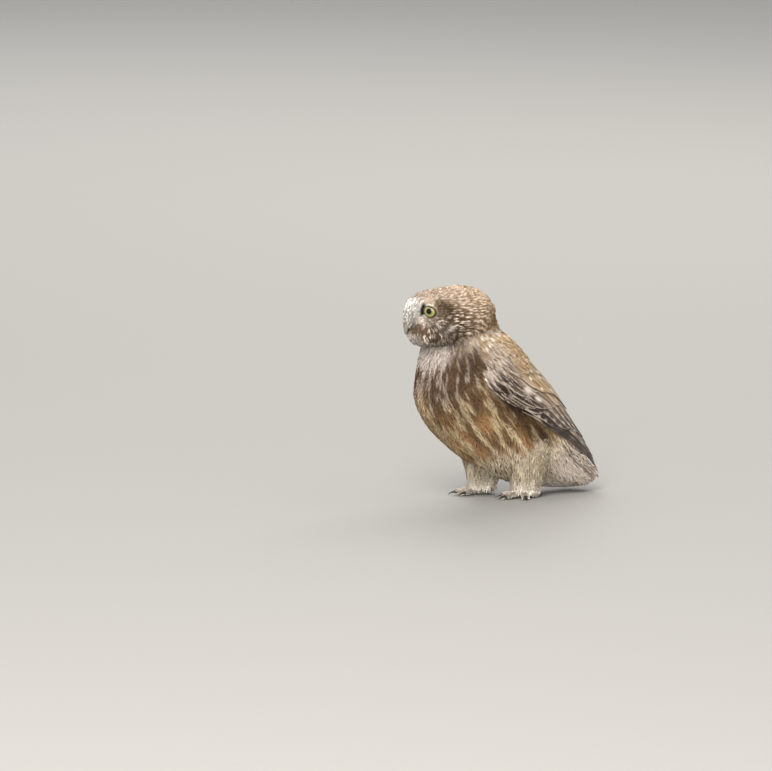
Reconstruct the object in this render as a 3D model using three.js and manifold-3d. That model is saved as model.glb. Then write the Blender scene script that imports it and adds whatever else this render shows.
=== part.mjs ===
// A little owl standing on its own two feet, as a still, life-size model in millimetres, +Z up.
// It faces -X and its left side is -Y. The body leans along one straight axis, head high and tail
// low, so torso, wings and tail are shaped in a body frame: along that axis from the nape to the
// tail, out to the side, and up towards the back. Head, legs and feet are shaped upright.
import * as THREE from "three";
import { mergeVertices } from "three/addons/utils/BufferGeometryUtils.js";
import Module from "manifold-3d";

const wasm = await Module();
wasm.setup();

// Driving dimensions
const GAP = 0.3; // clearance between pieces that touch
const BODY_LEAN = THREE.MathUtils.degToRad(50); // the body axis below the horizontal
const NECK = new THREE.Vector3(-33, 0, 132); // where the body frame starts
const NECK_CUT = -7; // along the body, where the neck ends and the torso starts
const HEAD = { x: -49, z: 160.5, long: 37, wide: 32.5, high: 25.5, square: 2.35 };
const EYE = { x: -72.6, y: 14, z: 167.6, radius: 9, out: 38, opening: 38, cornea: 5.9, bulge: 11 };
const LID = 1.3; // how far the eyelids stand off the eyeball
const BILL = { x: -80.5, z: 158.5, reach: 11.6, drop: 12.5, wide: 4.3, deep: 4.4, gape: 6.6, nostril: 0.95 };
const LEGS = [
  { side: "left", y: -17.5, x: 13.5 },
  { side: "right", y: 17.5, x: -10.5 },
];
const ANKLE = 7.2; // height at which the leg meets the foot
const LEG = { ankle: 11.2, thigh: 20, back: 2.6 }; // radii, and how far the ankle stands behind the foot
const TOE = { radius: 2.5, height: 2.1, claw: 1.55 };
const TOES = [
  { name: "inner", turn: -16, length: 17, claw: 8.5 },
  { name: "middle", turn: 12, length: 20, claw: 8.5 },
  { name: "outer", turn: 68, length: 15.5, claw: 7.5 },
  { name: "hind", turn: 168, length: 10.5, claw: 6.5 },
];

// Stations along the body: the middle's height in the body frame, half depth and half width.
const TORSO = [
  { at: -36, mid: 1, deep: 0, wide: 0 },
  { at: -23, mid: 0, deep: 32, wide: 27.5 },
  { at: -10, mid: -8, deep: 42, wide: 33.5 },
  { at: 5, mid: -16.5, deep: 48, wide: 38.5 },
  { at: 25, mid: -19.5, deep: 50.5, wide: 42.5 },
  { at: 50, mid: -19, deep: 50, wide: 43.5 },
  { at: 78, mid: -15.5, deep: 47, wide: 40 },
  { at: 105, mid: -11.5, deep: 39.5, wide: 33 },
  { at: 130, mid: -7, deep: 30, wide: 25.5 },
  { at: 150, mid: -3.5, deep: 18, wide: 19 },
  { at: 163, mid: 2.5, deep: 9, wide: 14.5 },
  { at: 171, mid: 7.5, deep: 0, wide: 0 },
];
// Stations along a folded wing: an elliptic arc from its lower edge to its upper edge, in degrees
// up from the side.
const WING = [
  { at: -4, mid: -11, deep: 45, wide: 38, low: 16, high: 36 },
  { at: 6, mid: -15, deep: 49.5, wide: 42, low: 2, high: 60 },
  { at: 20, mid: -18.5, deep: 52.5, wide: 46, low: 0, high: 71 },
  { at: 48, mid: -19, deep: 54, wide: 47.5, low: 6, high: 75 },
  { at: 76, mid: -16.5, deep: 52.5, wide: 45, low: 16, high: 77 },
  { at: 102, mid: -10.5, deep: 45, wide: 37.5, low: 21, high: 78 },
  { at: 132, mid: 2.5, deep: 29, wide: 27, low: 25, high: 80 },
  { at: 156, mid: 12.5, deep: 15.5, wide: 16.5, low: 28, high: 80 },
  { at: 172, mid: 18, deep: 6, wide: 9.5, low: 10, high: 78 },
];
const WING_COVER = 2.6; // how deep the tiers of feathers lie over the wing's core
const WING_THICK = 4;
const WING_CORE_END = 152;
const VANE = { thick: 0.95, edge: 0.55, lap: 0.45 };
// Tiers of a folded wing's feathers, from the lowest feather to the one nearest the back: roots and
// tips along the body, the middle's place across the wing at root and tip, and half width.
const TIERS = [
  { name: "primaries", count: 7, root: [78, 96], tip: [171.5, 136], from: [0.07, 0.5], to: [0.3, 0.82],
    half: 7.2, taper: 0.4, lift: 0.5, steps: 5 },
  { name: "secondaries", count: 6, root: [66, 74], tip: [112, 140], from: [0.1, 0.8], to: [0.18, 0.8],
    half: 6.6, taper: 0.15, lift: 1.1, steps: 3 },
  { name: "greater coverts", count: 6, root: [42, 52], tip: [80, 96], from: [0.08, 0.78], to: [0.12, 0.8],
    half: 6, taper: 0, lift: 1.7, steps: 2 },
  { name: "median coverts", count: 5, root: [24, 30], tip: [56, 64], from: [0.12, 0.76], to: [0.12, 0.76],
    half: 7, taper: 0, lift: 2.1, steps: 2 },
  { name: "lesser coverts", count: 4, root: [4, 8], tip: [36, 42], from: [0.16, 0.78], to: [0.14, 0.76],
    half: 8, taper: 0, lift: 2.4, steps: 2 },
];
const TAIL = {
  root: 96,
  feather: 112,
  stump: 154,
  tip: 174,
  narrow: 12,
  broad: 21,
  rootHeight: 19.5,
  tipHeight: 14,
  arch: 5,
  thick: 2.6,
  pairs: 6,
  vane: 5,
};

const FEATHER = new THREE.MeshStandardMaterial({ name: "feather", color: "#8a6f52", roughness: 0.9 });
const PALE = new THREE.MeshStandardMaterial({ name: "pale_feather", color: "#cbbda6", roughness: 0.9 });
const HORN = new THREE.MeshStandardMaterial({ name: "bill_horn", color: "#a9a274", roughness: 0.45 });
const CLAW = new THREE.MeshStandardMaterial({ name: "claw_horn", color: "#2c2622", roughness: 0.4 });
const IRIS = new THREE.MeshStandardMaterial({ name: "eye", color: "#c3c052", roughness: 0.1 });

/** A station's field at a place along the body, by a Catmull-Rom curve through the stations. */
function valueAt(stations, field, at) {
  const last = stations.length - 2;
  const found = stations.findIndex((station, k) => k > 0 && at < station.at) - 1;
  const i = found < 0 ? last : Math.min(found, last);
  const f = THREE.MathUtils.clamp((at - stations[i].at) / (stations[i + 1].at - stations[i].at), 0, 1);
  const pick = (k) => stations[THREE.MathUtils.clamp(k, 0, stations.length - 1)][field];
  const [a, b, c, d] = [pick(i - 1), pick(i), pick(i + 1), pick(i + 2)];
  return b + 0.5 * f * (c - a + f * (2 * a - 5 * b + 4 * c - d + f * (3 * (b - c) + d - a)));
}

/** The place along the body at a share of the way through a list of stations. */
function placeAlong(stations, share) {
  const place = THREE.MathUtils.clamp(share, 0, 1) * (stations.length - 1);
  const i = Math.min(Math.floor(place), stations.length - 2);
  return THREE.MathUtils.lerp(stations[i].at, stations[i + 1].at, place - i);
}

/** A point of the body frame, in the model's own frame. */
function bodyPoint(along, side, up) {
  return new THREE.Vector3(
    NECK.x + along * Math.cos(BODY_LEAN) + up * Math.sin(BODY_LEAN),
    side,
    NECK.z - along * Math.sin(BODY_LEAN) + up * Math.cos(BODY_LEAN),
  );
}

/** A manifold-3d solid from points and triangles, turned to face outwards. */
function solidFrom(points, triangles) {
  const make = (faces) =>
    new wasm.Manifold(
      new wasm.Mesh({
        numProp: 3,
        vertProperties: new Float32Array(points.flatMap((p) => [p.x, p.y, p.z])),
        triVerts: new Uint32Array(faces.flat()),
      }),
    );
  const solid = make(triangles);
  return solid.volume() > 0 ? solid : make(triangles.map(([a, b, c]) => [a, c, b]));
}

/** A solid from a closed three.js geometry. */
function solidOf(geometry) {
  const bare = geometry.clone();
  bare.deleteAttribute("normal");
  bare.deleteAttribute("uv");
  const merged = mergeVertices(bare, 1e-4);
  const spots = merged.getAttribute("position");
  const pointAt = (_, i) => new THREE.Vector3().fromBufferAttribute(spots, i);
  const points = Array.from({ length: spots.count }, pointAt);
  const index = merged.index.array;
  const triangles = Array.from({ length: index.length / 3 }, (_, i) => [...index.slice(3 * i, 3 * i + 3)]);
  return solidFrom(points, triangles);
}

/** A closed skin of rings between two poles. surface(turn, share) gives a point; turn runs 0 to 2 pi. */
function ringSolid(surface, around, along) {
  const points = [surface(0, 0), surface(0, 1)];
  const at = (i, j) => 2 + (i - 1) * around + (j % around);
  const triangles = [];
  for (let i = 1; i < along; i++) {
    for (let j = 0; j < around; j++) points.push(surface((2 * Math.PI * j) / around, i / along));
  }
  for (let j = 0; j < around; j++) {
    triangles.push([0, at(1, j + 1), at(1, j)], [1, at(along - 1, j), at(along - 1, j + 1)]);
    for (let i = 1; i < along - 1; i++) {
      triangles.push([at(i, j), at(i, j + 1), at(i + 1, j + 1)], [at(i, j), at(i + 1, j + 1), at(i + 1, j)]);
    }
  }
  return solidFrom(points, triangles);
}

/** A thin closed plate. surface(across, share, face) gives a point, face 1 outside and 0 inside. */
function plateSolid(surface, wide, long) {
  const points = [];
  const at = (face, i, j) => (face * (long + 1) + i) * (wide + 1) + j;
  for (const face of [0, 1]) {
    for (let i = 0; i <= long; i++) {
      for (let j = 0; j <= wide; j++) points.push(surface((2 * j) / wide - 1, i / long, face));
    }
  }
  const triangles = [];
  const quad = (a, b, c, d) => triangles.push([a, b, c], [a, c, d]);
  for (let i = 0; i < long; i++) {
    for (let j = 0; j < wide; j++) {
      const [a, b, c, d] = [[i, j], [i, j + 1], [i + 1, j + 1], [i + 1, j]];
      quad(at(1, ...a), at(1, ...b), at(1, ...c), at(1, ...d));
      triangles.push([at(0, ...a), at(0, ...c), at(0, ...b)], [at(0, ...a), at(0, ...d), at(0, ...c)]);
    }
    quad(at(0, i, 0), at(1, i, 0), at(1, i + 1, 0), at(0, i + 1, 0));
    quad(at(1, i, wide), at(0, i, wide), at(0, i + 1, wide), at(1, i + 1, wide));
  }
  for (let j = 0; j < wide; j++) {
    quad(at(1, 0, j), at(0, 0, j), at(0, 0, j + 1), at(1, 0, j + 1));
    quad(at(0, long, j), at(1, long, j), at(1, long, j + 1), at(0, long, j + 1));
  }
  return solidFrom(points, triangles);
}

/** The largest closed surface of a solid. */
function largest(solid) {
  return solid.decompose().reduce((best, s) => (s.volume() > best.volume() ? s : best));
}

/** A named mesh from a solid. */
function meshOf(name, solid, material) {
  const { numProp, vertProperties, triVerts } = largest(solid).getMesh();
  const places = new Float32Array((vertProperties.length / numProp) * 3);
  for (let i = 0; i < places.length / 3; i++) {
    places.set(vertProperties.subarray(i * numProp, i * numProp + 3), i * 3);
  }
  const geometry = new THREE.BufferGeometry();
  geometry.setAttribute("position", new THREE.BufferAttribute(places, 3));
  geometry.setIndex(new THREE.BufferAttribute(triVerts, 1));
  geometry.computeVertexNormals();
  const mesh = new THREE.Mesh(geometry, material);
  mesh.name = name;
  return mesh;
}

/** A box between two corners, for cutting. */
function boxSolid(low, high) {
  const size = new THREE.Vector3().subVectors(high, low);
  const middle = new THREE.Vector3().addVectors(low, high).multiplyScalar(0.5);
  return solidOf(new THREE.BoxGeometry(size.x, size.y, size.z).translate(middle.x, middle.y, middle.z));
}

/** Everything behind a plane square to the body axis, as a large box. */
function behindBody(along) {
  const reach = 400;
  const box = new THREE.BoxGeometry(reach, reach, reach).translate(reach / 2, 0, 0);
  box.rotateY(BODY_LEAN);
  const start = bodyPoint(along, 0, 0);
  return solidOf(box.translate(start.x, start.y, start.z));
}

/** The trunk from the neck to the coverts under the tail, grown by extra. */
function torsoSolid(extra = 0) {
  return ringSolid(
    (turn, share) => {
      const at = placeAlong(TORSO, share);
      const [mid, deep, wide] = ["mid", "deep", "wide"].map((field) => valueAt(TORSO, field, at));
      const pole = share === 0 || share === 1;
      const end = pole ? Math.sign(share - 0.5) * extra : 0;
      const grown = pole ? 0 : extra;
      return bodyPoint(at + end, (wide + grown) * Math.cos(turn), mid + (deep + grown) * Math.sin(turn));
    },
    26,
    22,
  );
}

/** How far the head stands out from its plain egg at a point of it: brows, ruff, muzzle, eye hollows. */
function headRelief(p) {
  const side = Math.abs(p.y);
  const near = (x, y, z, spread) => {
    const away = (p.x - x) ** 2 + (side - y) ** 2 + (p.z - z) ** 2;
    return Math.exp(-away / (2 * spread ** 2));
  };
  const brow = 5 * near(-89, 3, 172, 6) + 3.4 * near(-82, 14, 177, 5) + 1.8 * near(-72, 23, 178, 5.5);
  const ruff = 1.8 * (near(-62, 31, 167, 5.5) + near(-62, 31, 155, 5.5) + near(-68, 26, 144, 5.5));
  const muzzle = 3.4 * near(-89, 4, 158, 6);
  const chin = 6 * near(-82, 0, 141, 9);
  const hollow = 3.4 * near(-82, 17, 167, 6.5) + 1.4 * near(-74, 27, 158, 6);
  const crown = 3 * near(-60, 0, 187, 14) + 2 * near(-80, 5, 183, 9);
  return brow + ruff + muzzle + chin - hollow - crown;
}

/** The feathered head as an egg with a flat face and crown, grown by extra. */
function headSolid(extra = 0) {
  const power = (v) => Math.sign(v) * Math.abs(v) ** (2 / HEAD.square);
  return ringSolid(
    (turn, share) => {
      const rise = Math.PI * share;
      const out = Math.sin(rise);
      const dir = new THREE.Vector3(-Math.cos(rise), out * Math.cos(turn), out * Math.sin(turn));
      const p = new THREE.Vector3(
        HEAD.x + HEAD.long * power(dir.x),
        HEAD.wide * power(dir.y),
        HEAD.z + HEAD.high * power(dir.z),
      );
      return p.addScaledVector(dir, headRelief(p) + extra);
    },
    30,
    24,
  );
}

/** The outward axis of an eye on one side, -1 left and 1 right. */
function eyeAxis(side) {
  const out = THREE.MathUtils.degToRad(EYE.out);
  return new THREE.Vector3(-Math.cos(out), side * Math.sin(out), 0.03).normalize();
}

/** Moves a geometry turned about +Y to the eye on one side. */
function toEye(geometry, side) {
  const upright = new THREE.Vector3(0, 1, 0);
  geometry.applyQuaternion(new THREE.Quaternion().setFromUnitVectors(upright, eyeAxis(side)));
  return solidOf(geometry.translate(EYE.x, side * EYE.y, EYE.z));
}

/** The eyeball with the cornea's dome in front, grown by extra. */
function eyeSolid(side, extra = 0) {
  const rim = Math.asin(EYE.cornea / EYE.radius);
  const base = EYE.radius * Math.cos(rim);
  const profile = [];
  for (let i = 0; i <= 9; i++) {
    const a = Math.PI - (i / 9) * (Math.PI - rim);
    profile.push(new THREE.Vector2((EYE.radius + extra) * Math.sin(a), (EYE.radius + extra) * Math.cos(a)));
  }
  for (let i = 1; i <= 4; i++) {
    const a = (1 - i / 4) * (Math.PI / 2);
    const dome = EYE.bulge - base;
    profile.push(new THREE.Vector2((EYE.cornea + extra) * Math.sin(a), base + (dome + extra) * Math.cos(a)));
  }
  profile[0].x = profile[profile.length - 1].x = 0;
  return toEye(new THREE.LatheGeometry(profile, 18), side);
}

/** The ball that the lids are cut from, and the cone that opens them. */
function lidBall(side) {
  return toEye(new THREE.SphereGeometry(EYE.radius + LID, 18, 12), side);
}
function lidOpening(side) {
  const reach = 24;
  const mouth = reach * Math.tan(THREE.MathUtils.degToRad(EYE.opening));
  return toEye(new THREE.ConeGeometry(mouth, reach, 24).rotateX(Math.PI).translate(0, reach / 2, 0), side);
}

/** The middle line of one half of the bill, hooked down, upper 1 or lower 0. */
function billLine(upper) {
  const reach = BILL.reach * (upper ? 1 : 0.62);
  const drop = BILL.drop * (upper ? 1 : 0.62);
  const top = BILL.z - (upper ? 0 : BILL.gape);
  const at = (out, down) => new THREE.Vector3(BILL.x - reach * out, 0, top - drop * down);
  return new THREE.QuadraticBezierCurve3(at(0, 0), at(1.05, 0.12), at(0.98, 1));
}

/** One half of the bill, grown by extra. */
function billSolid(upper, extra = 0) {
  const line = billLine(upper);
  return ringSolid(
    (turn, share) => {
      const lean = line.getTangent(share);
      const body = share > 0 && share < 1;
      const size = body ? Math.sqrt(Math.min(1, share * 6)) * (1 - 0.78 * share ** 1.4) : 0;
      const wide = (BILL.wide * (upper ? 1 : 0.8) * size + (body ? extra : 0)) * Math.cos(turn);
      const deep = (BILL.deep * (upper ? 1 : 0.42) * size + (body ? extra : 0)) * Math.sin(turn);
      return line.getPoint(share).add(new THREE.Vector3(lean.z * deep, wide, -lean.x * deep));
    },
    12,
    9,
  );
}

/** The pit of a nostril on one side of the upper bill. */
function nostrilSolid(side) {
  const middle = billLine(1).getPoint(0.42);
  const pit = new THREE.SphereGeometry(BILL.nostril, 8, 6);
  return solidOf(pit.translate(middle.x - 0.4, side * BILL.wide * 0.72, middle.z + 0.8));
}

/** A point of a folded wing: across runs 0 to 1 from its lower edge to the back, out from its core. */
function wingPoint(side, at, across, out) {
  const read = (field) => valueAt(WING, field, at);
  const [mid, deep, wide, low, high] = ["mid", "deep", "wide", "low", "high"].map(read);
  const turn = THREE.MathUtils.degToRad(THREE.MathUtils.lerp(low, high, across));
  const lift = out - WING_COVER;
  return bodyPoint(at, side * (wide + lift) * Math.cos(turn), mid + (deep + lift) * Math.sin(turn));
}

/** How many millimetres across a folded wing measures at a place along it. */
function wingBreadth(at) {
  const [deep, wide, low, high] = ["deep", "wide", "low", "high"].map((field) => valueAt(WING, field, at));
  return ((deep + wide) / 2) * THREE.MathUtils.degToRad(high - low);
}

/** The flesh and small feathers of a folded wing, which its tiers of feathers root in. */
function wingCore(side) {
  return plateSolid(
    (across, share, face) => {
      const at = THREE.MathUtils.lerp(WING[0].at, WING_CORE_END, share);
      const edge = Math.sqrt(1 - across ** 2) * Math.min(1, 6 * share, 0.25 + 3 * (1 - share));
      const out = face ? 0.7 * (edge - 1) : -(0.5 + (WING_THICK - 0.5) * edge);
      return wingPoint(side, at, 0.5 + 0.5 * across, out);
    },
    7,
    12,
  );
}

/** How much of its full half width a feather has at a share of its length. */
function vaneShape(share, taper, round) {
  const end = Math.max(0, (share - (1 - round)) / round);
  return Math.min(1, 0.6 + 1.6 * share) * (1 - taper * share) * Math.sqrt(1 - 0.9 * end ** 2);
}

/** A place across the wing, drawn in where it nears the back so that feathers end there. */
function towardsBack(place) {
  const room = 0.17;
  const start = 1.02 - room;
  return place < start ? place : start + room * (1 - Math.exp((start - place) / room));
}

/** One feather of a folded wing's tier, lapped over the feather below it. */
function wingVane(side, tier, rank) {
  const pick = ([first, last]) => THREE.MathUtils.lerp(first, last, rank);
  const [root, tip] = [pick(tier.root), pick(tier.tip)];
  return plateSolid(
    (across, share, face) => {
      const half = tier.half * vaneShape(share, tier.taper, 0.3);
      const at = THREE.MathUtils.lerp(root, tip, share) - tier.half * 0.55 * across ** 2 * share ** 3;
      const middle = THREE.MathUtils.lerp(pick(tier.from), pick(tier.to), share);
      const place = towardsBack(middle + (across * half) / wingBreadth(at));
      const rise = tier.lift - 1.7 * (1 - THREE.MathUtils.smoothstep(share, 0, 0.45)) - VANE.lap * across;
      const thick = THREE.MathUtils.lerp(VANE.thick, VANE.edge, Math.abs(across));
      return wingPoint(side, at, place, rise + (face - 0.5) * thick);
    },
    2,
    tier.steps,
  );
}

/** A folded wing: the core with its tiers of feathers, primaries first. */
function wingSolid(side) {
  const vanes = TIERS.flatMap((tier) =>
    Array.from({ length: tier.count }, (_, i) => wingVane(side, tier, i / (tier.count - 1))),
  );
  return vanes.reduce((whole, vane) => whole.add(vane), wingCore(side));
}

/** A point of the tail: across in millimetres from its middle, up from its upper face. */
function tailPoint(at, across, up) {
  const share = (at - TAIL.root) / (TAIL.tip - TAIL.root);
  const half = THREE.MathUtils.lerp(TAIL.narrow, TAIL.broad, share);
  const top = THREE.MathUtils.lerp(TAIL.rootHeight, TAIL.tipHeight, share);
  return bodyPoint(at, across, top - TAIL.arch * share * (across / half) ** 2 + up);
}

/** The space that the whole tail takes, grown by extra. */
function tailSpace(extra) {
  return plateSolid(
    (across, share, face) => {
      const at = THREE.MathUtils.lerp(TAIL.root, TAIL.tip + extra, share);
      const half = THREE.MathUtils.lerp(TAIL.narrow, TAIL.broad, share) + extra;
      return tailPoint(at, across * half, face ? extra : -TAIL.thick - extra);
    },
    8,
    6,
  );
}

/** The stump that the tail's feathers root in. */
function tailCore() {
  return plateSolid(
    (across, share, face) => {
      const at = THREE.MathUtils.lerp(TAIL.root, TAIL.stump, share);
      const half = THREE.MathUtils.lerp(TAIL.narrow, TAIL.broad, share) * 0.8;
      return tailPoint(at, across * half, face ? -0.9 : -TAIL.thick);
    },
    6,
    3,
  );
}

/** One tail feather, counted outwards from the middle pair, each outer one tucked under. */
function tailVane(side, order) {
  const rank = (order + 0.5) / TAIL.pairs;
  const tip = TAIL.tip - 0.5 - 5 * rank ** 2;
  return plateSolid(
    (across, share, face) => {
      const half = TAIL.vane * vaneShape(share, 0.05, 0.25);
      const at = THREE.MathUtils.lerp(TAIL.feather, tip, share) - 1.6 * across ** 2 * share ** 3;
      const middle = rank * THREE.MathUtils.lerp(TAIL.narrow, TAIL.broad, share) - half * 0.8 * rank;
      const rise = -0.55 - 0.22 * order + 0.32 * across;
      const thick = THREE.MathUtils.lerp(VANE.thick, VANE.edge, Math.abs(across));
      return tailPoint(at, side * (middle + across * half), rise + (face - 0.5) * thick);
    },
    2,
    4,
  );
}

/** The tail: six pairs of feathers on their stump. */
function tailSolid() {
  const vanes = [-1, 1].flatMap((side) => Array.from({ length: TAIL.pairs }, (_, i) => tailVane(side, i)));
  return vanes.reduce((whole, vane) => whole.add(vane), tailCore());
}

/** A feathered leg from inside the belly down to a flat end at the ankle. */
function legSolid({ x, y }) {
  const rings = 12;
  const top = { x: x + 5, y: y * 0.85, z: 62 };
  return ringSolid(
    (turn, share) => {
      const t = Math.max(0, (share * rings - 1) / (rings - 1));
      const full = THREE.MathUtils.lerp(LEG.ankle, LEG.thigh, THREE.MathUtils.smoothstep(t, 0, 0.7));
      const radius = share > 0 && share < 1 ? full : 0;
      return new THREE.Vector3(
        THREE.MathUtils.lerp(x + LEG.back, top.x, t) + 1.12 * radius * Math.cos(turn),
        THREE.MathUtils.lerp(y, top.y, t) + radius * Math.sin(turn),
        THREE.MathUtils.lerp(ANKLE, top.z, t),
      );
    },
    18,
    rings,
  );
}

/** The line of a toe from the ball of the foot to where its claw starts. */
function toeLine({ x, y }, { turn, length }) {
  const out = THREE.MathUtils.degToRad(turn) * Math.sign(y);
  const way = new THREE.Vector3(-Math.cos(out), Math.sin(out), 0);
  const at = (far, z) => new THREE.Vector3(x, y, z).addScaledVector(way, far);
  const curve = new THREE.QuadraticBezierCurve3(at(0, 4.4), at(length * 0.6, 3.6), at(length, TOE.height));
  return { way, curve };
}

/** A foot: the ball under the ankle and four toes, cut flat where they stand. */
function footSolid(leg) {
  const ball = new THREE.SphereGeometry(1, 12, 8).scale(6.2, 5.6, 4.6).translate(leg.x, leg.y, 3.6);
  const stem = new THREE.CylinderGeometry(4.6, 4.8, 6, 10).rotateX(Math.PI / 2).translate(leg.x, leg.y, 6);
  const toes = TOES.map((toe) => {
    const { way, curve } = toeLine(leg, toe);
    const aside = new THREE.Vector3(-way.y, way.x, 0);
    return ringSolid(
      (turn, share) => {
        const middle = curve.getPoint(share);
        const full = TOE.radius * (1 - 0.16 * share + 0.07 * Math.sin(share * 19));
        const size = share > 0 && share < 1 ? full : 0;
        middle.z += size * Math.sin(turn);
        return middle.addScaledVector(aside, size * Math.cos(turn));
      },
      8,
      8,
    );
  });
  const whole = [solidOf(ball), solidOf(stem), ...toes].reduce((a, b) => a.add(b));
  const space = boxSolid(new THREE.Vector3(-200, -200, 0), new THREE.Vector3(200, 200, ANKLE - GAP));
  return whole.intersect(space);
}

/** A claw, curved down from the end of its toe to just above the ground. */
function clawSolid(leg, toe, extra = 0) {
  const { way, curve } = toeLine(leg, toe);
  const root = curve.getPoint(1).addScaledVector(way, -2.2);
  const at = (far, z) => new THREE.Vector3(root.x, root.y, z).addScaledVector(way, far);
  const reach = toe.claw + 2.2;
  const arc = new THREE.QuadraticBezierCurve3(at(0, 2.4), at(reach * 0.62, 4.6), at(reach, 0.55));
  const aside = new THREE.Vector3(-way.y, way.x, 0);
  return ringSolid(
    (turn, share) => {
      const lean = arc.getTangent(share);
      const upright = new THREE.Vector3().crossVectors(aside, lean);
      const size = share > 0 && share < 1 ? (TOE.claw + extra) * (1 - 0.85 * share ** 1.3) : 0;
      return arc
        .getPoint(share)
        .addScaledVector(aside, 0.85 * size * Math.cos(turn))
        .addScaledVector(upright, size * Math.sin(turn));
    },
    8,
    7,
  );
}

const owl = new THREE.Group();

const trunk = torsoSolid();
const trunkSpace = torsoSolid(GAP);
const headForm = headSolid();
const headSpace = headSolid(GAP);
const sides = [-1, 1];
const sideName = (side) => (side < 0 ? "left" : "right");

// The bill sits in the face, upper over lower with the line of the mouth between them.
const upperBill = billSolid(1);
const lowerBill = billSolid(0).subtract(billSolid(1, GAP));
const pitted = sides.reduce((bill, side) => bill.subtract(nostrilSolid(side)), upperBill);
owl.add(meshOf("bill_upper", pitted, HORN));
owl.add(meshOf("bill_lower", lowerBill, HORN));

// The head with its lids, opened for the eyes and the bill.
let head = headForm;
for (const side of sides) head = head.add(lidBall(side));
for (const side of sides) head = head.subtract(lidOpening(side)).subtract(eyeSolid(side, GAP));
head = head.subtract(billSolid(1, GAP)).subtract(billSolid(0, GAP));
owl.add(meshOf("head", head, FEATHER));
for (const side of sides) owl.add(meshOf(`eye_${sideName(side)}`, eyeSolid(side), IRIS));

// The neck is the trunk's front end, parted by a thin cut.
owl.add(meshOf("neck", trunk.subtract(behindBody(NECK_CUT - GAP)).subtract(headSpace), FEATHER));
const torso = trunk.intersect(behindBody(NECK_CUT)).subtract(headSpace);
owl.add(meshOf("torso", torso, PALE));

const tail = tailSolid().subtract(trunkSpace);
owl.add(meshOf("tail", tail, FEATHER));
for (const side of sides) {
  const wing = wingSolid(side).subtract(trunkSpace).subtract(tailSpace(GAP)).subtract(headSpace);
  owl.add(meshOf(`wing_${sideName(side)}`, wing, FEATHER));
}

for (const leg of LEGS) {
  owl.add(meshOf(`leg_${leg.side}`, legSolid(leg).subtract(trunkSpace), PALE));
  const claws = TOES.map((toe) => clawSolid(leg, toe, GAP));
  owl.add(meshOf(`foot_${leg.side}`, claws.reduce((a, b) => a.subtract(b), footSolid(leg)), PALE));
  for (const toe of TOES) owl.add(meshOf(`claw_${leg.side}_${toe.name}`, clawSolid(leg, toe), CLAW));
}

// The origin is the middle of the bounding box's floor.
const bounds = new THREE.Box3().setFromObject(owl);
owl.position.set(-(bounds.min.x + bounds.max.x) / 2, -(bounds.min.y + bounds.max.y) / 2, -bounds.min.z);

export default owl;
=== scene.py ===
"""A little owl on its feet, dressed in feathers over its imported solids.

The solids' own millimetres are used throughout (the owl faces -X, its left side is -Y) and are
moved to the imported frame's metres when a mesh is made. Shapes are functions of two parameters,
worked out as whole arrays. Feathers are thin meshes set on the forms below and lie along them.
"""
import functools
import itertools
import logging
import math
from collections.abc import Callable
from dataclasses import dataclass, field
from enum import Enum
from typing import Protocol

import bpy
import numpy as np
from mathutils import Matrix, Vector
from numpy.typing import NDArray


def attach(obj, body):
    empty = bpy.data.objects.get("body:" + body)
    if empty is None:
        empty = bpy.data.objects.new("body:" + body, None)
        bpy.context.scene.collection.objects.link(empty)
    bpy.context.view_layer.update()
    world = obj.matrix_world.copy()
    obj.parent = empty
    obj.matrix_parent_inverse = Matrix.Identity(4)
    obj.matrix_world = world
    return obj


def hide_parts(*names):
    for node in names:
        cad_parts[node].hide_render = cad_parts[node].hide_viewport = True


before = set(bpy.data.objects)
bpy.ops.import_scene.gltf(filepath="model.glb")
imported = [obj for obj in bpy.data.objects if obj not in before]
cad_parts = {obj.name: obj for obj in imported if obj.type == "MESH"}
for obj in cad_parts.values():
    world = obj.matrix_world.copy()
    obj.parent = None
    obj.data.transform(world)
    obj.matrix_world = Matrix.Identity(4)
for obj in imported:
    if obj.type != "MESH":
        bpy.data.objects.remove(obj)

Array = NDArray[np.float64]
LOG = logging.getLogger("owl")
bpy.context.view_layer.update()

# The photograph's width in pixels, and a big feather's points along and across.
PHOTO_WIDTH = 772
QUILL_ROWS, QUILL_COLUMNS = 26, 9
# A radius that closes a ring to a point without making faces of no area.
POLE = 1e-4


class Mark(Enum):
    """How a feather's second colour lies on it."""

    EDGE = "pale edges round a dark middle"
    SPOT = "two oval spots towards the tip and faintly pale edges"
    BARS = "bars across both webs"
    NOTCH = "spots along the outer web"


class Side(Enum):
    """A side of the owl, with the sign of its Y."""

    LEFT = -1
    RIGHT = 1

    @property
    def word(self) -> str:
        """Give the side's name as the names of pieces and nodes spell it."""
        return self.name.lower()


# Numbers and colours


def linear(code: str) -> Array:
    """Turn an sRGB hex colour, six digits after a hash, into linear values."""
    value = np.array([int(code[i : i + 2], 16) for i in (1, 3, 5)]) / 255
    return np.where(value <= 0.04045, value / 12.92, ((value + 0.055) / 1.055) ** 2.4)


def ease(value: Array, low: float, high: float) -> Array:
    """Rise from 0 at low to 1 at high along a cubic with level ends, t * t * (3 - 2 * t)."""
    part = np.clip((value - low) / (high - low), 0, 1)
    return part * part * (3 - 2 * part)


def blend(low: Array | str, high: Array | str, share: Array) -> Array:
    """Blend by shares from one colour to another, either of which may be a hex colour."""
    low, high = (linear(hue) if isinstance(hue, str) else hue for hue in (low, high))
    return low + (high - low) * np.asarray(share)[..., None]


def unit(vectors: Array) -> Array:
    """Scale vectors to length one."""
    return vectors / np.maximum(np.linalg.norm(vectors, axis=-1, keepdims=True), 1e-9)


def bell(value: Array, half: float) -> Array:
    """Fall off on both sides of zero as exp(-(value / half) ** 2)."""
    return np.exp(-((value / half) ** 2))


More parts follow.
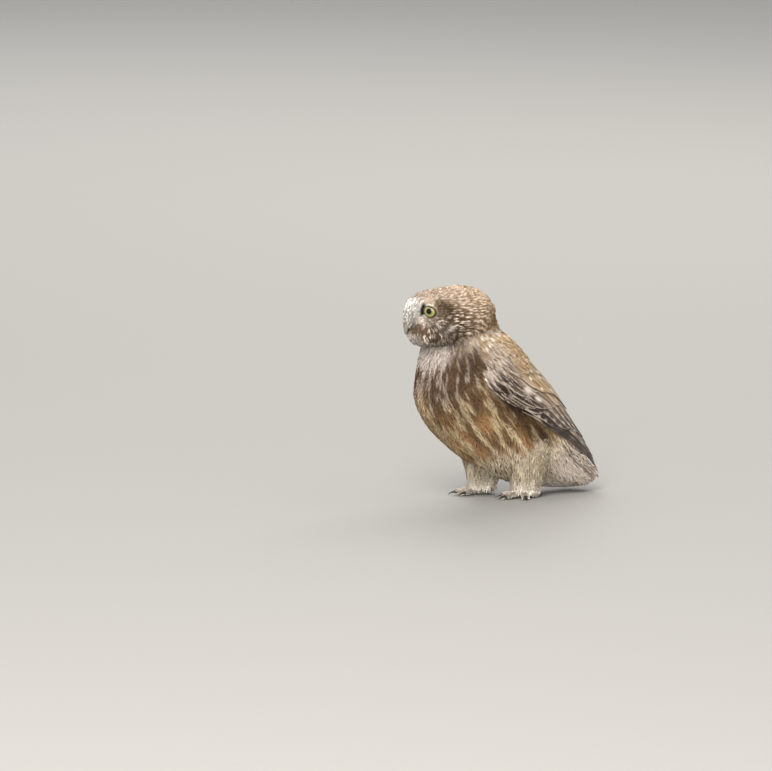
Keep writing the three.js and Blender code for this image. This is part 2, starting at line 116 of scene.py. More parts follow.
def wrapped(turn: Array) -> Array:
    """Bring angles in radians into the range from minus pi to pi."""
    return np.angle(np.exp(1j * turn))


def stacked(*axes: Array | float) -> Array:
    """Stack coordinates given one by one along a new last axis, spread to a common shape."""
    return np.stack(np.broadcast_arrays(*axes), axis=-1)


def folded(points: Array) -> Array:
    """Fold the owl's left side onto its right, so that one formula serves both."""
    return points * [1, 0, 1] + np.abs(points) * [0, 1, 0]


def ring(count: int) -> Array:
    """Give evenly spaced turns from 0 up to a whole turn, left out, as one row."""
    return np.linspace(0, math.tau, count, endpoint=False)[None]


def bowed(corners: list[Array], share: Array) -> Array:
    """Give points at shares t of the quadratic curve (1 - t)^2 a + 2 t (1 - t) b + t^2 c."""
    a, b, c = corners
    t = np.asarray(share)[..., None]
    return (1 - t) ** 2 * a + 2 * t * (1 - t) * b + t**2 * c


def crosswise(ahead: Array) -> tuple[Array, Array]:
    """Give the level and the upright direction square to directions ahead."""
    aside = unit(np.cross(ahead, [0, 0, 1.0]))
    return aside, np.cross(aside, ahead)


def dice(cells: NDArray[np.int64], seed: int) -> Array:
    """Give a fixed random number from 0 to 1 for each whole-number cell.

    Args:
        cells: Whole numbers, axes last.
        seed: Which numbers.

    Returns:
        One number for each cell.
    """
    primes = np.array([374761393, 668265263, 2147483647])[: cells.shape[-1]]
    key = (cells * primes).sum(-1) + seed * 1013904223
    key = ((key ^ (key >> 13)) * 1274126177) & 0x7FFFFFFF
    key = ((key ^ (key >> 11)) * 1103515245) & 0x7FFFFFFF
    return ((key ^ (key >> 15)) & 0xFFFF) / 65535


def mottle(points: Array, seed: int) -> Array:
    """Value noise from 0 to 1: random numbers at whole-number corners, blended by a cubic fade.

    Args:
        points: Places in noise cells, axes last.
        seed: Which noise.

    Returns:
        One value for each place.
    """
    cell = np.floor(points).astype(np.int64)
    fade = points - cell
    fade = fade * fade * (3 - 2 * fade)
    total = np.zeros(points.shape[:-1])
    for corner in itertools.product((0, 1), repeat=points.shape[-1]):
        total += dice(cell + corner, seed) * np.prod(np.where(corner, fade, 1 - fade), axis=-1)
    return total


def grain(seed: int, *axes: Array | float) -> Array:
    """Read the noise of a seed at coordinates given one by one, in noise cells."""
    return mottle(stacked(*axes), seed)


def flecks(
    turn: Array, along: Array, reach: Callable[[Array], Array] | float, cell: tuple[float, float],
    half: tuple[Array | float, Array | float], seed: int,
) -> Array:
    """Scatter drops over a surface, one in each cell of the rings round it.

    Each ring is cut into a whole number of cells. A drop's middle is moved about within its
    cell, and its tail end is narrower than its head.

    Args:
        turn: Radians round the surface.
        along: Millimetres along it.
        reach: Its radius, or what gives it at distances along.
        cell: A cell's width and length.
        half: A drop's half width and half length.
        seed: Which scatter.

    Returns:
        1 inside a drop, 0 outside, soft between.
    """
    radius = reach if callable(reach) else lambda at: reach + 0 * at
    best = np.zeros(np.broadcast_shapes(turn.shape, along.shape))
    for down, aside in itertools.product((-1, 0, 1), (-1, 0, 1)):
        row = np.floor(along / cell[1]).astype(np.int64) + down
        girth = math.tau * radius((row + 0.5) * cell[1])
        count = np.maximum(1, np.round(girth / cell[0])).astype(np.int64)
        column = np.floor((turn / math.tau + 0.5) * count).astype(np.int64) + aside
        key = stacked(row, column % count)
        middle = (column + 0.5 + 0.7 * (dice(key, seed) - 0.5)) / count - 0.5
        off = wrapped(turn - middle * math.tau) * radius(along)
        far = along - (row + 0.5 + 0.7 * (dice(key, seed + 1) - 0.5)) * cell[1]
        flare = 1 + 0.3 * np.clip(far / half[1], -1, 1)
        wide = half[0] * (0.7 + 0.5 * dice(key, seed + 2)) * flare
        best = np.maximum(best, 1 - ease(np.hypot(off / wide, far / half[1]), 0.6, 1.15))
    return best


def spline(stations: Array, column: int, at: Array) -> Array:
    """Read one column of a station table by a Catmull-Rom curve, as the solids do.

    Args:
        stations: Rows of numbers, the place along the body first.
        column: Which number.
        at: Places along the body.

    Returns:
        Its value at each place.
    """
    knots, values = stations[:, 0], stations[:, column]
    last = len(knots) - 1
    i = np.clip(np.searchsorted(knots, at, side="right") - 1, 0, last - 1)
    f = np.clip((at - knots[i]) / (knots[i + 1] - knots[i]), 0, 1)
    a, b = values[np.maximum(i - 1, 0)], values[i]
    c, d = values[i + 1], values[np.minimum(i + 2, last)]
    return b + 0.5 * f * (c - a + f * (2 * a - 5 * b + 4 * c - d + f * (3 * (b - c) + d - a)))


# Meshes


@dataclass(frozen=True)
class Posture:
    """The body axis: where it starts and how it leans, and where the solids stand in the frame."""

    lean: float = math.radians(50)
    neck_x: float = -33
    neck_z: float = 132
    shift_x: float = 0.397

    def place(self, along: Array, side: Array, up: Array) -> Array:
        """Give points of the body: the neck's place, then along, across and up from the lean.

        Args:
            along: Millimetres down the body axis.
            side: Millimetres to the right.
            up: Millimetres towards the back.

        Returns:
            Points, axes last.
        """
        cos, sin = math.cos(self.lean), math.sin(self.lean)
        x, z = self.neck_x + along * cos + up * sin, self.neck_z - along * sin + up * cos
        return stacked(x, side, z)

    def read(self, points: Array) -> tuple[Array, Array, Array]:
        """Undo place: give distances along the body axis, to the right and towards the back."""
        cos, sin = math.cos(self.lean), math.sin(self.lean)
        x, z = points[..., 0] - self.neck_x, points[..., 2] - self.neck_z
        return x * cos - z * sin, points[..., 1], x * sin + z * cos

    def metres(self, points: Array) -> Array:
        """Move points from the solids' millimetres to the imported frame's metres."""
        return (points + [self.shift_x, 0, 0]) / 1000


POSTURE = Posture()
BODY_LIE = np.array([math.cos(POSTURE.lean), 0, -math.sin(POSTURE.lean)])


@dataclass
class Sheet:
    """Points with their quads, colours and maps, ready to be one piece.

    The vane map counts millimetres across and along a feather, for the pattern of its barbs. The
    bake map gives every face a place of its own, for the export.
    """

    points: Array
    quads: NDArray[np.int64]
    colours: Array
    vane: Array | None = None
    bake: Array | None = None

    def turned(self, wanted: bool) -> "Sheet":
        """Turn the faces round where that is wanted."""
        self.quads = self.quads[:, ::-1] if wanted else self.quads
        return self

    def piece(self, name: str, finish: "Finish") -> bpy.types.Object:
        """Make the piece.

        Args:
            name: The piece's name.
            finish: What it is made of.

        Returns:
            The new object, riding on the owl's body.
        """
        mesh = bpy.data.meshes.new(name)
        mesh.vertices.add(len(self.points))
        mesh.vertices.foreach_set("co", POSTURE.metres(self.points).astype(np.float32).ravel())
        mesh.loops.add(self.quads.size)
        mesh.loops.foreach_set("vertex_index", self.quads.astype(np.int32).ravel())
        mesh.polygons.add(len(self.quads))
        starts = np.arange(0, self.quads.size, 4, dtype=np.int32)
        mesh.polygons.foreach_set("loop_start", starts)
        mesh.polygons.foreach_set("use_smooth", np.ones(len(self.quads), dtype=bool))
        paint = mesh.color_attributes.new("plume", "FLOAT_COLOR", "POINT")
        rgba = np.ones((len(self.points), 4), dtype=np.float32)
        rgba[:, :3] = self.colours
        paint.data.foreach_set("color", rgba.ravel())
        for label, place in (("OFBake", self.bake), ("vane", self.vane)):
            if place is not None:
                layer = mesh.uv_layers.new(name=label)
                layer.uv.foreach_set("vector", place[self.quads].astype(np.float32).ravel())
        mesh.update(calc_edges=True)
        mesh.validate()
        mesh.materials.append(made(finish))
        piece = bpy.data.objects.new(name, mesh)
        bpy.context.scene.collection.objects.link(piece)
        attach(piece, "root")
        LOG.info("%s: %d quads", name, len(self.quads))
        return piece


def grid_quads(rows: int, columns: int, closed: bool = False) -> NDArray[np.int64]:
    """Number the quads of a grid of points, row after row.

    Args:
        rows: Points along the grid.
        columns: Points across it.
        closed: Whether the last column joins the first.

    Returns:
        Four point numbers for each quad.
    """
    i, j = np.meshgrid(np.arange(rows - 1), np.arange(columns - (not closed)), indexing="ij")
    k = (j + 1) % columns
    corners = [i * columns + j, i * columns + k, (i + 1) * columns + k, (i + 1) * columns + j]
    return np.stack(corners, axis=-1).reshape(-1, 4)


def ringed(points: Array, colours: Array) -> Sheet:
    """Close rings of points, the first and the last drawn in to poles, into a sheet."""
    quads = grid_quads(points.shape[0], points.shape[1], closed=True)
    return Sheet(points.reshape(-1, 3), quads, colours.reshape(-1, 3))


def capped(rings: Array) -> Sheet:
    """Close rings of points by a point in the middle of the first and of the last."""
    ends = rings.mean(axis=1, keepdims=True)[[0, -1]] + 0 * rings[[0, -1]]
    closed = np.concatenate([ends[:1], rings, ends[1:]])
    return ringed(closed, np.zeros(closed.shape))


def feathered(
    points: Array, colours: Array, vane: Array, bake: Array, turned: Array | bool
) -> Sheet:
    """Put feathers, each a grid of points, into one sheet.

    Args:
        points: Feathers by rows by columns by three.
        colours: The same for colours.
        vane: The same for millimetres across and along a feather.
        bake: The same for places on the bake map.
        turned: Whether to turn the faces round, for all or for each feather.

    Returns:
        The sheet.
    """
    count, rows, columns = points.shape[:3]
    quads = grid_quads(rows, columns) + rows * columns * np.arange(count)[:, None, None]
    quads = np.where(np.reshape(turned, (-1, 1, 1)), quads[..., ::-1], quads)
    maps = (np.broadcast_to(m, (count, rows, columns, 2)).reshape(-1, 2) for m in (vane, bake))
    return Sheet(points.reshape(-1, 3), quads.reshape(-1, 4), colours.reshape(-1, 3), *maps)


def joined(sheets: list[Sheet]) -> Sheet:
    """Put several sheets into one.

    Args:
        sheets: Sheets that all have the same maps.

    Returns:
        One sheet, with their faces in their order.
    """
    starts = np.cumsum([0] + [len(sheet.points) for sheet in sheets[:-1]])

    def stack(key: str) -> Array | None:
        """Join one of the sheets' arrays, where they have it."""
        parts = [getattr(sheet, key) for sheet in sheets]
        return None if parts[0] is None else np.concatenate(parts)

    quads = np.concatenate([sheet.quads + start for sheet, start in zip(sheets, starts)])
    return Sheet(stack("points"), quads, stack("colours"), stack("vane"), stack("bake"))


# Finishes


class Finish(Protocol):
    """A material that can be made."""

    def material(self) -> bpy.types.Material:
        """Make the material."""


@functools.cache
def made(finish: Finish) -> bpy.types.Material:
    """Make a finish's material the first time it is asked for, and give the same one after."""
    return finish.material()


def add(
    tree: bpy.types.NodeTree, kind: str, links: dict[str, object], **settings: object
) -> bpy.types.Node:
    """Add a node with its settings and links.

    Args:
        tree: The material's nodes.
        kind: The node's type name, without ShaderNode.
        links: For each input, by name or number, a socket to link or a value to set.
        settings: The node's own settings.

    Returns:
        The new node.
    """
    node = tree.nodes.new("ShaderNode" + kind)
    for key, value in settings.items():
        setattr(node, key, value)
    for key, value in links.items():
        socket = node.inputs[int(key) if key.isdigit() else key]
        if isinstance(value, bpy.types.NodeSocket):
            tree.links.new(value, socket)
        else:
            socket.default_value = value
    return node


def blank(name: str) -> bpy.types.NodeTree:
    """Start a material of a name, and give its node tree, still empty."""
    bpy.data.materials.new(name).use_nodes = True
    bpy.data.materials[name].node_tree.nodes.clear()
    return bpy.data.materials[name].node_tree


def finished(tree: bpy.types.NodeTree, shader: bpy.types.Node) -> bpy.types.Material:
    """Link the shader to the output and give the material that owns the tree."""
    add(tree, "OutputMaterial", {"Surface": shader.outputs[0]})
    return next(m for m in bpy.data.materials if m.node_tree == tree)


@dataclass(frozen=True)
class Plumage:
    """Grown feather keratin: matt, with a soft sheen, and barbs that slant out from the shaft.

    To the eye the barbs give each vane a silky grain, and the shaft a fine dark line. A real barb
    is 0.1 to 0.2 mm wide; it is drawn wider so that it shows.
    """

    name: str
    barb_mm: float = 0.55
    barb_depth: float = 0.16
    shaft_mm: float = 0.0
    roughness: float = 0.72

    def material(self) -> bpy.types.Material:
        """Make the material: the piece's own colours, streaked by barbs along the vane map.

        The barbs are sin(2 pi (along - 1.1 |across|) / barb), so they run up and out on both webs.

        Returns:
            The material.
        """
        tree = blank(self.name)
        paint = add(tree, "Attribute", {}, attribute_name="plume").outputs["Color"]
        vane = add(tree, "UVMap", {}, uv_map="vane").outputs[0]
        parts = add(tree, "SeparateXYZ", {"0": vane})
        off = add(tree, "Math", {"0": parts.outputs[0]}, operation="ABSOLUTE").outputs[0]
        slant = {"0": off, "1": -1.1, "2": parts.outputs[1]}
        back = add(tree, "Math", slant, operation="MULTIPLY_ADD").outputs[0]
        turns = add(tree, "Math", {"0": back, "1": math.tau / self.barb_mm}, operation="MULTIPLY")
        wave = add(tree, "Math", {"0": turns.outputs[0]}, operation="SINE").outputs[0]
        low, high = 1 - self.barb_depth, 1 + 0.5 * self.barb_depth
        tones = {"0": wave, "1": -1.0, "2": 1.0, "3": low, "4": high}
        shade = add(tree, "MapRange", tones).outputs[0]
        if self.shaft_mm:
            reach = {"0": off, "1": 0.0, "2": self.shaft_mm, "3": 0.62, "4": 1.0}
            shaft = add(tree, "MapRange", reach).outputs[0]
            shade = add(tree, "Math", {"0": shade, "1": shaft}, operation="MULTIPLY").outputs[0]
        hue = add(tree, "VectorMath", {"0": paint, "Scale": shade}, operation="SCALE").outputs[0]
        bump = add(tree, "Bump", {"Strength": 0.35, "Distance": 0.0002, "Height": wave}).outputs[0]
        links = {"Base Color": hue, "Roughness": self.roughness, "Normal": bump, "IOR": 1.54}
        links |= {"Specular IOR Level": 0.15, "Sheen Weight": 0.06, "Sheen Roughness": 0.5}
        return finished(tree, add(tree, "BsdfPrincipled", links))


@dataclass(frozen=True)
class Down:
    """Down over skin, grown: matt and mottled, so that gaps in the coat look soft and deep.

    Real down is finer than 0.1 mm; its mottle is drawn about a millimetre wide so that it shows.
    """

    name: str = "down_over_skin"

    def material(self) -> bpy.types.Material:
        """Make the material: the skin's own markings with a mottle of about a millimetre.

        Returns:
            The material.
        """
        tree = blank(self.name)
        paint = add(tree, "Attribute", {}, attribute_name="plume").outputs["Color"]
        place = add(tree, "TexCoord", {}).outputs["Object"]
        noise = add(tree, "TexNoise", {"Vector": place, "Scale": 900.0, "Detail": 3.0}).outputs[0]
        tones = {"0": noise, "1": 0.3, "2": 0.7, "3": 0.7, "4": 1.1}
        shade = add(tree, "MapRange", tones).outputs[0]
        hue = add(tree, "VectorMath", {"0": paint, "Scale": shade}, operation="SCALE").outputs[0]
        bump = add(tree, "Bump", {"Strength": 0.5, "Distance": 0.0004, "Height": noise}).outputs[0]
        links = {"Base Color": hue, "Roughness": 0.9, "Normal": bump, "Sheen Weight": 0.15}
        return finished(tree, add(tree, "BsdfPrincipled", links))


@dataclass(frozen=True)
class Horn:
    """Beak and claw keratin: smooth, faintly ribbed across its growth, with a dull gloss.

    Real growth lines are 0.1 to 0.3 mm apart; they are drawn about a millimetre apart to show.
    """

    name: str
    rib_mm: float
    roughness: float
    coat: float

    def material(self) -> bpy.types.Material:
        """Make the material: the piece's colours with soft growth ribs along the vane map.

        Returns:
            The material.
        """
        tree = blank(self.name)
        paint = add(tree, "Attribute", {}, attribute_name="plume").outputs["Color"]
        vane = add(tree, "UVMap", {}, uv_map="vane").outputs[0]
        cells = {"0": vane, "1": (1 / self.rib_mm, 0.12 / self.rib_mm, 0)}
        place = add(tree, "VectorMath", cells, operation="MULTIPLY").outputs[0]
        noise = add(tree, "TexNoise", {"Vector": place, "Scale": 1.0, "Detail": 4.0}).outputs[0]
        tones = {"0": noise, "1": 0.3, "2": 0.7, "3": 0.82, "4": 1.12}
        shade = add(tree, "MapRange", tones).outputs[0]
        hue = add(tree, "VectorMath", {"0": paint, "Scale": shade}, operation="SCALE").outputs[0]
        ribs = {"Strength": 0.25, "Distance": 0.00012, "Height": noise}
        bump = add(tree, "Bump", ribs).outputs[0]
        links = {"Base Color": hue, "Roughness": self.roughness, "Normal": bump, "IOR": 1.54}
        links |= {"Coat Weight": self.coat, "Coat Roughness": 0.15}
        return finished(tree, add(tree, "BsdfPrincipled", links))


@dataclass(frozen=True)
class WetEye:
    """The wet front of an eye: a clear tear film gives it depth and one small bright glint."""

    name: str = "wet_eye"

    def material(self) -> bpy.types.Material:
        """Make the material: the eye's own colours under a thin smooth coat.

        Returns:
            The material.
        """
        tree = blank(self.name)
        paint = add(tree, "Attribute", {}, attribute_name="plume").outputs["Color"]
        links = {"Base Color": paint, "Roughness": 0.2, "IOR": 1.376, "Coat Weight": 0.55}
        links |= {"Coat Roughness": 0.02, "Specular IOR Level": 0.1}
        return finished(tree, add(tree, "BsdfPrincipled", links))


@dataclass(frozen=True)
class Floor:
    """A matt painted studio floor, pale and even, so that the owl's soft shadow shows."""

    name: str = "pale_matt_floor"

    def material(self) -> bpy.types.Material:
        """Make the material: one pale grey with the faint texture of a paint roller.

        Returns:
            The material.
        """
        tree = blank(self.name)
        place = add(tree, "TexCoord", {}).outputs["Object"]
        noise = add(tree, "TexNoise", {"Vector": place, "Scale": 60.0, "Detail": 2.0}).outputs[0]
        bump = add(tree, "Bump", {"Strength": 0.04, "Distance": 0.001, "Height": noise}).outputs[0]
        links = {"Base Color": (*linear("#8c8b88"), 1.0), "Roughness": 0.8, "Normal": bump}
        return finished(tree, add(tree, "BsdfPrincipled", links))


# Forms that carry feathers


class Form:
    """A surface that feathers grow on; without a shape of its own it is wherever they are."""

    def settle(self, points: Array, out: float = 0.0) -> Array:
        """Move points onto the surface, or to so many millimetres out from it."""
        return points


@dataclass
class Trunk(Form):
    """Neck, breast, belly and back: ellipses across the body axis, at the solids' stations."""

    stations: Array = field(default_factory=lambda: np.array([
        # along, middle's height, half depth, half width
        [-36, 1, 0, 0], [-23, 0, 32, 27.5], [-10, -8, 42, 33.5], [5, -16.5, 48, 38.5],
        [25, -19.5, 50.5, 42.5], [50, -19, 50, 43.5], [78, -15.5, 47, 40], [105, -11.5, 39.5, 33],
        [130, -7, 30, 25.5], [149, -0.3, 20.6, 23.5], [160, 5, 14.5, 20.5], [168, 10, 8.5, 15.5],
        [174, 14, 0, 0],
    ], dtype=float))

    def slices(self, at: Array) -> list[Array]:
        """Give the middle's height, half depth and half width at places along the body."""
        return [spline(self.stations, column, at) for column in (1, 2, 3)]

    def point(self, at: Array, turn: Array, out: float = 0.0) -> Array:
        """Give the surface: half width times cos(turn) aside, half depth times sin(turn) up.

        Args:
            at: Places along the body.
            turn: Turns from the right side over the back.
            out: Millimetres out, less where the body runs to a point.

        Returns:
            Points.
        """
        mid, deep, wide = self.slices(at)
        grown = out * ease(deep, 0, 12)
        return POSTURE.place(at, (wide + grown) * np.cos(turn), mid + (deep + grown) * np.sin(turn))

    def turn_of(self, points: Array) -> tuple[Array, Array]:
        """Undo point.

        Args:
            points: Places.

        Returns:
            Their places along the body, kept off its two ends, and their turns.
        """
        along, side, up = POSTURE.read(points)
        at = np.clip(along, self.stations[0, 0] + 1, self.stations[-1, 0] - 0.5)
        mid, deep, wide = self.slices(at)
        return at, np.arctan2((up - mid) / np.maximum(deep, 1), side / np.maximum(wide, 1))

    def settle(self, points: Array, out: float = 0.0) -> Array:
        """Move points onto the trunk, each within its own slice."""
        return self.point(*self.turn_of(points), out)

    def depth(self, points: Array, margin: float = 0.0) -> Array:
        """Give 1 where the trunk drawn in by a margin has its surface, and less inside.

        Args:
            points: Places.
            margin: Millimetres inwards.

        Returns:
            One number for each place.
        """
        along, side, up = POSTURE.read(points)
        mid, deep, wide = self.slices(along)
        deep, wide = np.maximum(deep - margin, 0.1), np.maximum(wide - margin, 0.1)
        return np.hypot((up - mid) / deep, side / wide)

    def holds(self, points: Array, margin: float) -> NDArray[np.bool_]:
        """Tell which points lie deeper than a margin inside the trunk."""
        return self.depth(points, margin) < 1


@dataclass
class Head(Form):
    """The feathered head: a squarish egg with a flat face, brows, ruff, muzzle and eye hollows."""

    middle: tuple[float, float, float] = (-49, 0, 160.5)
    halves: tuple[float, float, float] = (37, 32.5, 25.5)
    square: float = 2.35

    def relief(self, points: Array) -> Array:
        """Sum round swellings and hollows, each high * exp(-distance^2 / (2 spread^2)).

        Args:
            points: Places on the egg.

        Returns:
            Millimetres to add to it.
        """
        swells = [
            # height, place (x, |y|, z), spread
            (6.4, -90, 3, 170, 6),  # between the eyes
            (3.0, -82, 14, 177, 5),  # brow
            (1.8, -72, 23, 178, 5.5),  # brow's end
            (1.8, -62, 31, 167, 5.5),  # ruff behind the eye
            (1.8, -62, 31, 155, 5.5),  # ruff by the ear
            (1.8, -68, 26, 144, 5.5),  # ruff under the cheek
            (3.4, -89, 4, 158, 6),  # muzzle round the bill
            (6, -82, 0, 141, 9),  # chin
            (-3.4, -82, 17, 167, 6.5),  # eye hollow
            (-1.4, -74, 27, 158, 6),  # cheek
            (-3, -60, 0, 187, 14),  # flat crown
            (-2, -80, 5, 183, 9),  # low forehead
            (2.4, -86, 0, 177, 5.5),  # over the white front
            (-1.4, -66, 6, 186, 14),  # crown beside the middle
        ]
        near = folded(points)
        return sum(
            high * np.exp(-((near - [x, y, z]) ** 2).sum(-1) / (2 * spread**2))
            for high, x, y, z, spread in swells
        )

    def point(self, way: Array, out: float = 0.0) -> Array:
        """Give the surface: half size times |way|^(2 / square) on each axis, then the relief.

        Args:
            way: Directions from the middle.
            out: Millimetres out.

        Returns:
            One point for each direction.
        """
        power = np.sign(way) * np.abs(way) ** (2 / self.square)
        egg = np.array(self.middle) + np.array(self.halves) * power
        return egg + way * (self.relief(egg) + out)[..., None]

    def way_of(self, points: Array) -> Array:
        """Undo point, apart from the relief."""
        part = (points - self.middle) / self.halves
        return unit(np.sign(part) * np.abs(part) ** (self.square / 2))

    def settle(self, points: Array, out: float = 0.0) -> Array:
        """Move points onto the head."""
        return self.point(self.way_of(points), out)

    def depth(self, points: Array, margin: float = 0.0) -> Array:
        """Give 1 where the egg drawn in by a margin has its surface, and less inside."""
        part = np.abs((points - self.middle) / (np.array(self.halves) - margin))
        return (part**self.square).sum(-1) ** (1 / self.square)

    def holds(self, points: Array, margin: float) -> NDArray[np.bool_]:
        """Tell which points lie deeper than a margin inside the head."""
        return self.depth(points, margin) < 1


@dataclass
class Leg(Form):
    """A feathered leg: round slices that widen from the ankle up into the belly."""

    x: float
    y: float
    ankle: float = 7.2
    top: float = 62.0
    radii: tuple[float, float] = (11.2, 20.0)
    back: tuple[float, float] = (2.6, 5.0)
    inward: float = 0.15
    stretch: float = 1.12

    def middle(self, rise: Array) -> tuple[Array, Array]:
        """Give the place of the leg's middle at shares of the height."""
        near, far = self.back
        return self.x + near + (far - near) * rise, self.y * (1 - self.inward * rise)

    def point(self, rise: Array, turn: Array, out: Array | float = 0.0) -> Array:
        """Give the surface: round slices, a little longer than wide, that widen upwards.

        Args:
            rise: Shares of the height, from the ankle.
            turn: Turns round the leg, from its back.
            out: Millimetres out.

        Returns:
            Points.
        """
        radius = self.radii[0] + (self.radii[1] - self.radii[0]) * ease(rise, 0, 0.7) + out
        x, y = self.middle(rise)
        aside = y + radius * np.sin(turn)
        height = self.ankle + (self.top - self.ankle) * rise
        return stacked(x + self.stretch * radius * np.cos(turn), aside, height)

    def settle(self, points: Array, out: float = 0.0) -> Array:
        """Move points onto the leg at their own height.

        Args:
            points: Places by the leg.
            out: Millimetres out.

        Returns:
            Points.
        """
        rise = np.clip((points[..., 2] - self.ankle) / (self.top - self.ankle), -0.1, 1)
        x, y = self.middle(rise)
        turn = np.arctan2(points[..., 1] - y, (points[..., 0] - x) / self.stretch)
        return self.point(rise, turn, out)


@dataclass
class Wing(Form):
    """A folded wing's outer face: arcs across the body axis from its lower edge to the back."""

    side: Side
    cover: float = 2.6
    stations: Array = field(default_factory=lambda: np.array([
        # along, middle's height, half depth, half width, low and high degrees
        [-4, -11, 45, 38, 16, 36], [6, -15, 49.5, 42, 2, 60], [20, -18.5, 52.5, 46, 0, 71],
        [48, -19, 54, 47.5, 6, 75], [76, -16.5, 52.5, 45, 16, 77], [102, -10.5, 45, 37.5, 21, 78],
        [132, 3.3, 29, 27, 25, 80], [156, 14.2, 15.5, 16.5, 26, 80], [172, 19.4, 6, 9.5, 10, 78],
    ], dtype=float))

    def slices(self, at: Array) -> list[Array]:
        """Give middles' heights, half depths, half widths, low and high degrees."""
        return [spline(self.stations, column, at) for column in range(1, 6)]

    def point(self, at: Array, across: Array, out: Array) -> Array:
        """Give points of the wing, on arcs from the low to the high degrees of its slices.

        Args:
            at: Places along the body.
            across: From 0 at the lower edge to 1 at the back.
            out: Millimetres out from the flesh, under all the feathers.

        Returns:
            Points.
        """
        mid, deep, wide, low, high = self.slices(at)
        turn = np.radians(low + across * (high - low))
        lift = out - self.cover
        side = self.side.value * (wide + lift) * np.cos(turn)
        return POSTURE.place(at, side, mid + (deep + lift) * np.sin(turn))

    def breadth(self, at: Array) -> Array:
        """Give how many millimetres the wing measures across."""
        _, deep, wide, low, high = self.slices(at)
        return (deep + wide) / 2 * np.radians(high - low)

    def across_of(self, points: Array) -> tuple[Array, Array]:
        """Undo point.

        Args:
            points: Places.

        Returns:
            Their places along and across the wing.
        """
        along, side, up = POSTURE.read(points)
        at = np.clip(along, self.stations[0, 0], self.stations[-1, 0])
        mid, deep, wide, low, high = self.slices(at)
        turn = np.degrees(np.arctan2((up - mid) / deep, side * self.side.value / wide))
        return at, (turn - low) / (high - low)

    def settle(self, points: Array, out: float = 0.0) -> Array:
        """Move points onto the wing's outermost layer."""
        at, across = self.across_of(points)
        return self.point(at, across, np.asarray(out + self.cover - 0.4))


def facing(form: Form, points: Array) -> Array:
    """Give a form's outward normals, by the cross product of two short steps along it.

    Args:
        form: The surface.
        points: Places on it.

    Returns:
        Unit vectors.
    """
    base = form.settle(points)
    away = unit(base - np.array([-20.0, 0, 118.0]))  # from the body's middle
    first = unit(np.cross(away, [0.31, 0.2, 0.93]))
    second = np.cross(away, first)
    normal = np.cross(form.settle(base + first) - base, form.settle(base + second) - base)
    return unit(normal) * np.where((normal * away).sum(-1, keepdims=True) < 0, -1, 1)


TRUNK = Trunk()
HEAD = Head()
LEGS = {Side.LEFT: Leg(13.5, -17.5), Side.RIGHT: Leg(-10.5, 17.5)}
WINGS = {side: Wing(side) for side in Side}


# Eyes


